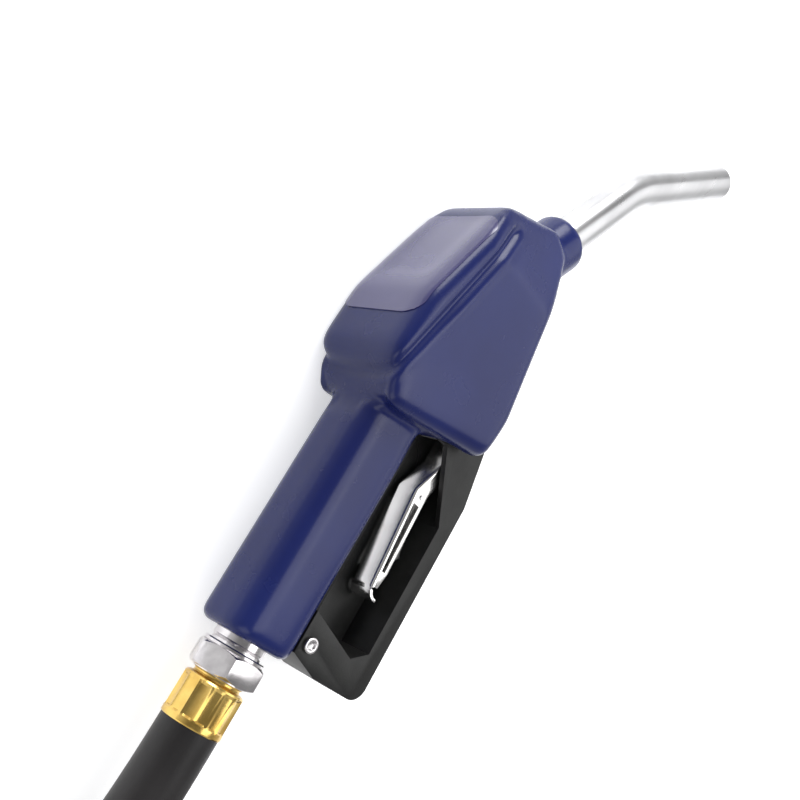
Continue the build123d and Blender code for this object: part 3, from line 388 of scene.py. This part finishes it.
hose_curve.materials.append(rubber_cover)
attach(delivery_hose, "nozzle")
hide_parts("hose", "hose_coil")

# ---- inlet fitting
# A bright plated steel hexagon with turned corners, a collar and a round grooved neck,
# screwed into the handle's tail; the hose's stem runs on through it.
plated = finish("bright_plate", (0.66, 0.64, 0.65), 0.2, metallic=1.0)
mottled(plated, (0.56, 0.54, 0.55), (0.72, 0.70, 0.71), 120.0)
worn(plated, 0.1, 0.26, 90.0)
raised(plated, 0.06, 0.0001, 500.0, 2.0)
HEX_LENGTH = 0.012
HEX_HALF = 0.0165  # from the axis to a flat
CONE_RADIUS, CONE_LENGTH = 0.0195, 0.0018  # the cones that turn its corners off at both ends
PAST = 0.0001  # how far the cones' solid runs past the hexagon's faces
NECK_BORE = 0.0102
TAIL_X = -0.185
FLANGE_X = TAIL_X - 0.008
HEX_X = FLANGE_X - HEX_LENGTH
bpy.ops.object.select_all(action="DESELECT")
bpy.ops.mesh.primitive_cylinder_add(
    vertices=6,
    radius=HEX_HALF / math.cos(math.pi / 6),
    depth=HEX_LENGTH,
    location=((FLANGE_X + HEX_X) / 2, 0.0, MID),
    rotation=ALONG_HANDLE,
)
hexagon = bpy.context.object
hexagon.name = "inlet_hexagon"
bpy.ops.object.transform_apply(location=True, rotation=True, scale=True)
low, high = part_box("inlet_adapter")
if abs(hexagon.dimensions.y - (high[1] - low[1])) > 0.001:
    # Its flats lie as those of the CAD node do.
    bpy.ops.object.mode_set(mode="EDIT")
    bpy.ops.mesh.select_all(action="SELECT")
    bpy.ops.transform.rotate(
        value=math.pi / 6, orient_axis="X", center_override=(HEX_X, 0.0, MID)
    )
    bpy.ops.object.mode_set(mode="OBJECT")
corner_cone = turned(
    "corner_cone",
    [
        (HEX_X - PAST, PAST),
        (HEX_X - PAST, HEX_HALF),
        (HEX_X + CONE_LENGTH, CONE_RADIUS),
        (FLANGE_X - CONE_LENGTH, CONE_RADIUS),
        (FLANGE_X + PAST, HEX_HALF),
        (FLANGE_X + PAST, PAST),
    ],
)
applied(hexagon, "BOOLEAN", operation="INTERSECT", object=corner_cone, solver="EXACT")
bpy.data.objects.remove(corner_cone)
bevelled(hexagon, width=0.0005, segments=2, angle=25)
smoothed(hexagon, 28)
neck = turned(
    "inlet_neck",
    [
        # the core, which shows as a small step at the hose's side of the hexagon
        (HEX_X - 0.0012, NECK_BORE), (HEX_X - 0.0012, 0.0136), (HEX_X - 0.0006, 0.0142),
        (HEX_X + 0.0006, 0.0142), (HEX_X + 0.004, 0.0142), (FLANGE_X - 0.0004, 0.0142),
        # the collar
        (FLANGE_X - 0.0004, 0.0158), (FLANGE_X + 0.0004, 0.0164),
        (FLANGE_X + 0.0016, 0.0164), (FLANGE_X + 0.0022, 0.0158),
        # the groove
        (FLANGE_X + 0.0022, 0.0136), (FLANGE_X + 0.0034, 0.0132),
        (FLANGE_X + 0.0046, 0.0136), (FLANGE_X + 0.005, 0.0139),
        # the neck and its thread inside the handle
        (TAIL_X + 0.004, 0.0139), (TAIL_X + 0.004, 0.0131),
        (TAIL_X + 0.016, 0.0131), (TAIL_X + 0.016, NECK_BORE),
        (HEX_X - 0.0012, NECK_BORE),
    ],
    sides=72,
)
smoothed(neck, 35)
stands_for(hexagon, plated, "plated_fitting", "nozzle", "inlet_adapter")
stands_for(neck, plated, "plated_fitting", "nozzle", "inlet_adapter")
dress(["near_hose_stem", "far_coupling"], plated)

# ---- crimped ferrules
# Brass sleeves pressed over the hose's two ends in a die with fourteen jaws, which leaves
# shallow flats between a plain rim at the hose and a rolled shoulder at the fitting.
brass = finish("crimped_brass", (0.78, 0.52, 0.17), 0.2, metallic=1.0)
mottled(brass, (0.60, 0.38, 0.09), (0.82, 0.58, 0.18), 60.0)
worn(brass, 0.12, 0.3, 140.0, 3.0, (1, 6, 6))
raised(brass, 0.1, 0.0001, 700.0, 2.0, (1, 0.2, 0.2))
FERRULE_END = HEX_X - 0.0255
FERRULE_BORE = 0.0104
FERRULE_WALL = 0.015  # what lies further out than this is the outer wall
PRESSED_FROM, PRESSED_TO = FERRULE_END + 0.0035, HEX_X - 0.0055
PRESS_DEPTH, PRESS_SHAPE = 0.0011, 0.6
JAWS = 14
SIDES_PER_JAW = 8
ferrule = turned(
    "near_ferrule_sleeve",
    [
        # the face at the fitting and the rolled shoulder
        (HEX_X - 0.0008, FERRULE_BORE), (HEX_X - 0.0008, 0.0124), (HEX_X - 0.0020, 0.0124),
        (HEX_X - 0.0027, 0.0128), (HEX_X - 0.0031, 0.0143), (HEX_X - 0.0037, 0.0154),
        (HEX_X - 0.0046, 0.0159), (HEX_X - 0.0060, 0.0160),
        # the pressed length ends at a plain rim
        (FERRULE_END + 0.0042, 0.0160), (FERRULE_END + 0.0032, 0.0160),
        (FERRULE_END + 0.0022, 0.0161), (FERRULE_END + 0.0006, 0.0161), (FERRULE_END, 0.0157),
        (FERRULE_END, FERRULE_BORE), (HEX_X - 0.0008, FERRULE_BORE),
    ],
    sides=JAWS * SIDES_PER_JAW,
)
crimped = bmesh.new()
crimped.from_mesh(ferrule.data)
for vert in crimped.verts:
    x, y, z = vert.co
    from_axis = math.hypot(y, z - MID)
    if not PRESSED_FROM < x < PRESSED_TO or from_axis < FERRULE_WALL:
        continue
    jaw = (math.atan2(z - MID, y) / (2 * math.pi) * JAWS) % 1.0
    press = PRESS_DEPTH * math.sin(math.pi * jaw) ** PRESS_SHAPE
    share = 1 - press / from_axis
    vert.co.y, vert.co.z = y * share, MID + (z - MID) * share
crimped.to_mesh(ferrule.data)
crimped.free()
smoothed(ferrule, 24)
stands_for(ferrule, brass, "brass", "nozzle", "near_ferrule")
dress(["far_ferrule", "packing_nut", "check_seat", "main_poppet"], brass)

# ---- inner pieces
# The die-cast body with its caps, the turned stainless steel stems and wound springs, the
# rubber seals and the plastic poppet in the nose.
cast = finish("die_cast_aluminium", (0.60, 0.60, 0.59), 0.45, metallic=1.0)
mottled(cast, (0.52, 0.52, 0.51), (0.66, 0.66, 0.65), 50.0)
raised(cast, 0.3, 0.0002, 400.0, 3.0)
dress(["body_casting", "valve_cap", "diaphragm_cover", "check_guide", "spout_nut"], cast)
steel = finish("turned_steel", (0.62, 0.62, 0.63), 0.28, metallic=1.0)
worn(steel, 0.2, 0.36, 200.0, 3.0, (1, 6, 1))
raised(steel, 0.1, 0.0001, 300.0, 2.0, (1, 8, 1))
dress(
    [
        "main_stem", "trip_stem", "latch_balls", "latch_pin", "diaphragm_plate", "spout_tip",
        "sensing_tube", "lever_pin", "clip_pin", "inlet_strainer", "main_spring", "trip_spring",
        "diaphragm_spring", "check_spring", "clip_spring",
    ],
    steel,
)
dress(["cover_screws"], plated)
nitrile = finish("black_nitrile", (0.018, 0.018, 0.018), 0.55)
worn(nitrile, 0.45, 0.65, 90.0)
raised(nitrile, 0.2, 0.0001, 800.0, 2.0)
dress(["poppet_disc", "cap_seal", "stem_seal", "diaphragm", "spout_seal", "inlet_seal"], nitrile)
acetal = finish("white_acetal", (0.80, 0.79, 0.75), 0.35)
worn(acetal, 0.28, 0.42, 80.0)
raised(acetal, 0.1, 0.0001, 600.0, 2.0)
dress(["check_poppet"], acetal)

# ---- spout
# A drawn aluminium tube, bent once, lightly brushed along its length.
tube_metal = finish("drawn_aluminium", (0.74, 0.74, 0.75), 0.3, metallic=1.0)
mottled(tube_metal, (0.50, 0.50, 0.51), (0.62, 0.62, 0.63), 40.0, 3.0, (0.3, 1, 1))
worn(tube_metal, 0.2, 0.42, 120.0, 3.0, (0.2, 1, 1))
raised(tube_metal, 0.15, 0.0001, 500.0, 2.0, (0.1, 1, 1))
dress(["spout"], tube_metal)

# ---- hand guard
# Black glass-filled nylon, moulded in one piece with rounded edges and a fine matt texture,
# held by a screw through the tail lug and one in each cheek.
nylon = finish("black_nylon", (0.008, 0.008, 0.008), 0.45, ior=1.38)
mottled(nylon, (0.004, 0.004, 0.004), (0.012, 0.012, 0.0115), 45.0)
worn(nylon, 0.36, 0.52, 30.0)
raised(nylon, 0.35, 0.00015, 1100.0, 2.0)
GUARD_HALF_WIDTH = 0.013
guard = lone_copy("hand_guard", "guard_moulding")
bevelled(guard, width=0.0009, segments=3, angle=30)
smoothed(guard, 35)
stands_for(guard, nylon, "guard", "nozzle", "hand_guard")

# ---- guard screws
# Plated pan-head screws with a deep round socket. The long one clamps the guard to the tail
# lug, with a hexagon nut under its far side.
TAIL_SCREW_X, TAIL_SCREW_Y = -0.171, -0.0285
CHEEK_SCREW_X, CHEEK_SCREW_Y = -0.016, -0.0385
HEAD_HEIGHT = 0.0022
SOCKET_DEPTH, SOCKET_RIM = 0.0014, 0.48  # the rim is a share of the head's radius
NUT_HOLE, NUT_RADIUS, NUT_HEIGHT = 0.0026, 0.0042, 0.0022


def pan_head_screw(name, x, y, shank, head, length, side):
    """A screw whose head stands on one of the guard's sides, from its two radii and length."""
    bpy.ops.object.select_all(action="DESELECT")
    bpy.ops.mesh.primitive_cylinder_add(
        vertices=48, radius=head, depth=HEAD_HEIGHT, location=(0.0, 0.0, HEAD_HEIGHT / 2)
    )
    screw = bpy.context.object
    screw.name = name
    bpy.ops.object.transform_apply(location=True, rotation=True, scale=True)
    bpy.ops.object.mode_set(mode="EDIT")
    bpy.ops.mesh.select_mode(type="FACE")
    pick(screw, "faces", lambda face: face.normal.z > 0.9)
    bpy.ops.mesh.inset(thickness=head * SOCKET_RIM, depth=0.0)
    bpy.ops.mesh.extrude_region_move(
        TRANSFORM_OT_translate={"value": (0.0, 0.0, -SOCKET_DEPTH)}
    )
    pick(screw, "faces", lambda face: face.normal.z < -0.9)
    bpy.ops.mesh.inset(thickness=head - shank, depth=0.0)
    bpy.ops.mesh.extrude_region_move(TRANSFORM_OT_translate={"value": (0.0, 0.0, -length)})
    bpy.ops.object.mode_set(mode="OBJECT")
    bevelled(screw, width=0.0005, segments=3, angle=50)
    place = Matrix.Translation((x, y, MID + side * GUARD_HALF_WIDTH))
    screw.data.transform(place @ Matrix.Rotation(0.0 if side > 0 else math.pi, 4, "X"))
    smoothed(screw, 40)
    return screw


tail_screw = pan_head_screw(
    "tail_screw", TAIL_SCREW_X, TAIL_SCREW_Y, shank=0.0025, head=0.0042, length=0.026, side=1
)
tail_nut = turned(
    "tail_nut",
    [
        (0.0, NUT_HOLE),
        (0.0, NUT_RADIUS),
        (NUT_HEIGHT, NUT_RADIUS),
        (NUT_HEIGHT, NUT_HOLE),
        (0.0, NUT_HOLE),
    ],
    sides=6,
)
bevelled(tail_nut, width=0.0003, segments=2, angle=40)
under_lug = Matrix.Translation((TAIL_SCREW_X, TAIL_SCREW_Y, MID - GUARD_HALF_WIDTH))
upright = Matrix.Rotation(math.pi / 2, 4, "Y")
to_origin = Matrix.Translation((0.0, 0.0, -MID))
tail_nut.data.transform(under_lug @ upright @ to_origin)
smoothed(tail_nut, 30)
stands_for(tail_screw, plated, "plated_steel", "nozzle", "guard_tail_screw")
stands_for(tail_nut, plated, "plated_steel", "nozzle", "guard_tail_screw")
for number, side in enumerate((1, -1), 1):
    cheek_screw = pan_head_screw(
        f"cheek_screw_{number}",
        CHEEK_SCREW_X,
        CHEEK_SCREW_Y,
        shank=0.002,
        head=0.0036,
        length=0.011,
        side=side,
    )
    stands_for(cheek_screw, plated, "plated_steel", "nozzle", "guard_front_screws")

# ---- lever and hold-open clip
# A steel channel pressed from one sheet, its back rolled over at both sides and curled down
# at its tail, with a lightening slot in each wall; the hold-open clip is a second pressing on
# a pin through the channel.
pressing = finish("plated_pressing", (0.84, 0.83, 0.82), 0.2, metallic=1.0)
mottled(pressing, (0.76, 0.75, 0.74), (0.90, 0.89, 0.88), 90.0)
worn(pressing, 0.16, 0.3, 50.0)
raised(pressing, 0.04, 0.0001, 160.0, 2.0, (0.3, 1, 1))
LEVER_HALF_WIDTH = 0.008
LEVER_SHEET = 0.0016
LEVER_ROUND = 0.0020  # the rolled edges' radius
LEVER_FRONT = 0.006
LEVER_TOP = -0.0523  # the back's height at its front
WEB_FRONT = -0.007  # the back is open from here to the lever's front
WALL_END = -0.1285  # the walls stop here, short of the curl
LEVER_BACK = [
    (-0.052, LEVER_TOP),
    (-0.072, -0.0445),
    (-0.079, -0.04525),
    (-0.119, -0.04954),
    (-0.128, -0.0505),
    (-0.1308, -0.0514),
    (-0.1332, -0.0532),
    (-0.1346, -0.0556),
    (-0.1348, -0.0582),
]
LEVER_FOOT = [
    (-0.128, -0.0550),
    (-0.119, -0.0564),
    (-0.079, -0.0544),
    (-0.072, -0.0545),
    (-0.052, -0.0602),
    (0.006, -0.0630),
]
SLOT_REAR, SLOT_FRONT = -0.119, -0.079
SLOT_TOP, SLOT_LOW = 0.0022, 0.0021  # its distances from the back and from the foot
SLOT_CEILING = -0.0465  # no face of the slot reaches higher
STRETCH = 0.001  # a new strip's first length, before its edge goes to its place
NEAR = 0.0001


def foot_of(x):
    """The height of the lever's lower edge at x."""
    for (before, low), (after, high) in zip(LEVER_FOOT, LEVER_FOOT[1:]):
        if x <= after:
            return low + (high - low) * (max(x, before) - before) / (after - before)
    return LEVER_FOOT[-1][1]


def level(edge):
    """True for an edge that doesn't run across the lever."""
    return abs(edge.verts[0].co.z - edge.verts[1].co.z) < 0.001


def at_web_front(edge):
    """True for the edge where the back begins."""
    return all(abs(vert.co.x - WEB_FRONT) < NEAR for vert in edge.verts)


def carries_wall(edge):
    """True for a side edge of the back that a wall hangs from."""
    at_side = all(abs(abs(vert.co.z - MID) - LEVER_HALF_WIDTH) < NEAR for vert in edge.verts)
    return at_side and level(edge) and min(vert.co.x for vert in edge.verts) > WALL_END


def cut_away(face):
    """True for the back's open front and for the faces where the walls have slots."""
    middle = face.calc_center_median()
    open_front = abs(middle.z - MID) < 0.001 and middle.x > WEB_FRONT
    slot = (
        abs(middle.z - MID) > 0.007
        and SLOT_REAR < middle.x < SLOT_FRONT
        and max(vert.co.y for vert in face.verts) < SLOT_CEILING
        and abs(middle.y - foot_of(middle.x)) > SLOT_LOW
    )
    return open_front or slot


def rolled_over(edge):
    """True for an edge between the back and a wall."""
    faces = edge.link_faces
    if len(faces) != 2 or not level(edge):
        return False
    return {abs(face.normal.z) > 0.7 for face in faces} == {True, False}


bpy.ops.object.select_all(action="DESELECT")
bpy.ops.mesh.primitive_plane_add(
    size=1.0,
    location=((LEVER_FRONT + WEB_FRONT) / 2, LEVER_TOP, MID),
    rotation=(-math.pi / 2, 0.0, 0.0),
)
channel = bpy.context.object
channel.name = "lever_pressing"
channel.scale = (LEVER_FRONT - WEB_FRONT, 2 * LEVER_HALF_WIDTH, 1.0)
bpy.ops.object.transform_apply(location=True, rotation=True, scale=True)
bpy.ops.object.mode_set(mode="EDIT")
bpy.ops.mesh.select_mode(type="EDGE")
pick(channel, "edges", at_web_front)
here = (WEB_FRONT, LEVER_TOP)
for place in LEVER_BACK:
    bpy.ops.mesh.extrude_region_move(
        TRANSFORM_OT_translate={"value": (place[0] - here[0], place[1] - here[1], 0.0)}
    )
    here = place
pick(channel, "edges", carries_wall)
# Each wall has three strips: one above the slot, one as high as the slot and one below it.
for strip in range(3):
    bpy.ops.mesh.extrude_region_move(TRANSFORM_OT_translate={"value": (0.0, -STRETCH, 0.0)})
    shape = bmesh.from_edit_mesh(channel.data)
    for vert in shape.verts:
        if vert.select:
            above = vert.co.y + STRETCH
            foot = foot_of(vert.co.x)
            vert.co.y = (above - SLOT_TOP, foot + SLOT_LOW, foot)[strip]
    bmesh.update_edit_mesh(channel.data)
bpy.ops.mesh.select_mode(type="FACE")
pick(channel, "faces", cut_away)
bpy.ops.mesh.delete(type="FACE")
bpy.ops.mesh.select_mode(type="EDGE")
pick(channel, "edges", rolled_over)
bpy.ops.mesh.bevel(offset=LEVER_ROUND, segments=4)
bpy.ops.mesh.select_all(action="SELECT")
bpy.ops.mesh.normals_make_consistent(inside=False)
bpy.ops.object.mode_set(mode="OBJECT")
applied(channel, "SOLIDIFY", thickness=LEVER_SHEET, offset=-1.0, use_even_offset=True)
bevelled(channel, width=0.0003, segments=2, angle=40)
smoothed(channel, 40)
stands_for(channel, pressing, "lever_steel", "lever", "lever")
clip = lone_copy("hold_open_clip", "clip_pressing")
bevelled(clip, width=0.00025, segments=2, angle=35)
smoothed(clip, 35)
stands_for(clip, pressing, "lever_steel", "clip", "hold_open_clip")

# ---- jacket
# One soft vinyl moulding that is stretched over the casting: deep navy, glossy and rounded
# everywhere. A groove runs under the shoulders of its sloping top face and round behind it.
# Below it there is a low lip at both sides, and at the rear the moulding draws in to the handle.
HUMP_REAR = -0.031
HALF_WIDTH = 0.033
HUMP_CORE = Vector((0.015, -0.005, MID))  # the outer skin faces away from this point
VOXEL = 0.0014
GROOVE_Y, GROOVE_SLOPE = 0.0275, 0.235  # its height at the hump's rear, and its fall forward
GROOVE_SAG = 0.0025  # how much lower it runs at the middle than at the sides
GROOVE_DEPTH, GROOVE_WIDTH = 0.0024, 0.0026
LIP_HEIGHT, LIP_BELOW, LIP_WIDTH = 0.0006, 0.0065, 0.003
PAD_HEIGHT = 0.0007  # how much the skin above the groove stands out
WAIST_DEPTH, WAIST_BELOW, WAIST_WIDTH = 0.0022, 0.012, 0.008
DRAWN_IN = 0.035  # how much narrower the moulding gets behind the hump, as a share
MOULDED_FROM, MOULDED_TO = -0.07, 0.078  # along the nozzle
FINE_FROM, FINE_TO, FINE_REACH = -0.052, 0.076, 0.008  # where the mesh is finer, by the groove


def off_groove(vert):
    """How far a point of the jacket is above its groove."""
    x, y, z = vert.co
    aside = min(abs(z - MID) / HALF_WIDTH, 1.0)
    return y - GROOVE_Y + GROOVE_SLOPE * (x - HUMP_REAR) + GROOVE_SAG * (1 - aside * aside)


def rounding(place):
    """How much the jacket is rounded at a point; its handle, collar and lower edges aren't."""
    x, y, _ = place
    on_hump = eased(x, -0.075, -0.04) * (1 - eased(x, 0.085, 0.1))
    return on_hump * max(eased(y, -0.062, -0.045), eased(x, 0.022, 0.04))


def beside_groove(face):
    """True for a face of the jacket close to the groove."""
    middle = face.calc_center_median()
    close = all(abs(off_groove(vert)) < FINE_REACH for vert in face.verts)
    return close and FINE_FROM < middle.x < FINE_TO and middle.y > 0.0


def moulded(vert):
    """How far the groove, its edges and the waist move a point of the jacket's skin."""
    x, _, z = vert.co
    high = off_groove(vert)
    on_groove = eased(x, -0.06, -0.045) * (1 - eased(x, 0.064, 0.074))
    groove = GROOVE_DEPTH * bell(high, GROOVE_WIDTH)
    lip = LIP_HEIGHT * bell(high + LIP_BELOW, LIP_WIDTH) * eased(x, -0.02, 0.012)
    pad = PAD_HEIGHT * eased(high, 0.0, 0.006)
    rear = 1 - eased(x, -0.046, -0.022)
    off_handle = eased(x, -0.07, -0.056)
    waist = WAIST_DEPTH * rear * bell(high + WAIST_BELOW, WAIST_WIDTH) * off_handle
    waist *= 1 - eased(abs(vert.normal.z), 0.1, 0.5)
    move = vert.normal.copy() * (on_groove * (pad + lip - groove) - waist)
    move.z -= (z - MID) * DRAWN_IN * rear * (1 - eased(high, -0.009, -0.001)) * off_handle
    return move


jacket = lone_copy("hand_insulator", "jacket")
applied(jacket, "REMESH", mode="VOXEL", voxel_size=VOXEL)
rounded = [(vert.index, rounding(vert.co)) for vert in jacket.data.vertices]
relaxed(jacket, 16)
relaxed(jacket, 45, rounded)
alone(jacket)
bpy.ops.object.mode_set(mode="EDIT")
bpy.ops.mesh.select_mode(type="FACE")
pick(jacket, "faces", beside_groove)
bpy.ops.mesh.subdivide(number_cuts=1, smoothness=0.0)
bpy.ops.object.mode_set(mode="OBJECT")
grooved = bmesh.new()
grooved.from_mesh(jacket.data)
grooved.normal_update()
skin = [
    vert
    for vert in grooved.verts
    if (vert.co - HUMP_CORE).dot(vert.normal) >= 0 and MOULDED_FROM < vert.co.x < MOULDED_TO
]
near = [(vert.index, 1 - eased(abs(off_groove(vert)), 0.006, 0.01)) for vert in skin]
moves = [moulded(vert) for vert in skin]
for vert, move in zip(skin, moves):
    vert.co += move
    vert.co.z = max(vert.co.z, 0.0)
grooved.to_mesh(jacket.data)
grooved.free()
relaxed(jacket, 5, near)
alone(jacket)
bpy.ops.object.shade_smooth()
vinyl = finish("navy_vinyl", (0.011, 0.017, 0.105), 0.25, ior=1.38)
mottled(vinyl, (0.007, 0.012, 0.086), (0.010, 0.018, 0.115), 11.0, 5.0)
worn(vinyl, 0.2, 0.32, 60.0)
raised(vinyl, 0.03, 0.00005, 900.0, 2.0)
stands_for(jacket, vinyl, "jacket", "nozzle", "hand_insulator")

# ---- label place
# A thin clear-coated panel stuck to the jacket's sloping top face, which bends a little over
# both shoulders. It is left bare. Its pale purple-grey colour, lighter than the vinyl, is
# partly painted sheen: it stands in for the light that the sloping face reflects.
PANEL_LENGTH, PANEL_WIDTH, PANEL_CORNER = 0.080, 0.061, 0.011
PANEL_THICKNESS = 0.0006
PANEL_MIDDLE = 0.0315
KNEE_X, KNEE_Y = 0.003, 0.035  # where the sloping top face begins
SLOPE = math.radians(15.5)
ABOVE = 0.02  # the flat grid starts this far above the face and is pressed down to it
panel_start = KNEE_Y - (PANEL_MIDDLE - KNEE_X) * math.tan(SLOPE) + ABOVE
bpy.ops.object.select_all(action="DESELECT")
bpy.ops.mesh.primitive_grid_add(
    x_subdivisions=62, y_subdivisions=46, size=1.0, rotation=(-math.pi / 2, 0.0, 0.0)
)
label_panel = bpy.context.object
label_panel.name = "label_panel"
label_panel.scale = (PANEL_LENGTH, PANEL_WIDTH, 1.0)
bpy.ops.object.transform_apply(location=False, rotation=True, scale=True)
for vert in label_panel.data.vertices:
    over_x = abs(vert.co.x) - (PANEL_LENGTH / 2 - PANEL_CORNER)
    over_z = abs(vert.co.z) - (PANEL_WIDTH / 2 - PANEL_CORNER)
    if over_x > 0 and over_z > 0:
        share = max(over_x, over_z) / math.hypot(over_x, over_z)
        vert.co.x -= math.copysign(over_x * (1 - share), vert.co.x)
        vert.co.z -= math.copysign(over_z * (1 - share), vert.co.z)
above_face = Matrix.Translation((PANEL_MIDDLE, panel_start, MID))
label_panel.data.transform(above_face @ Matrix.Rotation(-SLOPE, 4, "Z"))
label_panel.data.update()
applied(
    label_panel,
    "SHRINKWRAP",
    target=jacket,
    wrap_method="PROJECT",
    use_negative_direction=True,
    use_positive_direction=False,
    wrap_mode="ABOVE_SURFACE",
    offset=0.0003,
)
relaxed(label_panel, 6)
applied(label_panel, "SOLIDIFY", thickness=PANEL_THICKNESS, offset=0.0)
smoothed(label_panel, 50)
# The panel's pale purple-grey colour and its mottle are partly painted sheen, not only its own
# colour.
panel = finish("bare_panel_painted_sheen", (0.04, 0.036, 0.14), 0.2)
shader_of(panel).inputs["Coat Weight"].default_value = 0.5
shader_of(panel).inputs["Coat Roughness"].default_value = 0.15
mottled(panel, (0.034, 0.030, 0.125), (0.048, 0.043, 0.155), 18.0)
worn(panel, 0.12, 0.24, 30.0)
raised(panel, 0.03, 0.0002, 90.0, 2.0)
stands_for(label_panel, panel, "label", "nozzle", "name_plate")
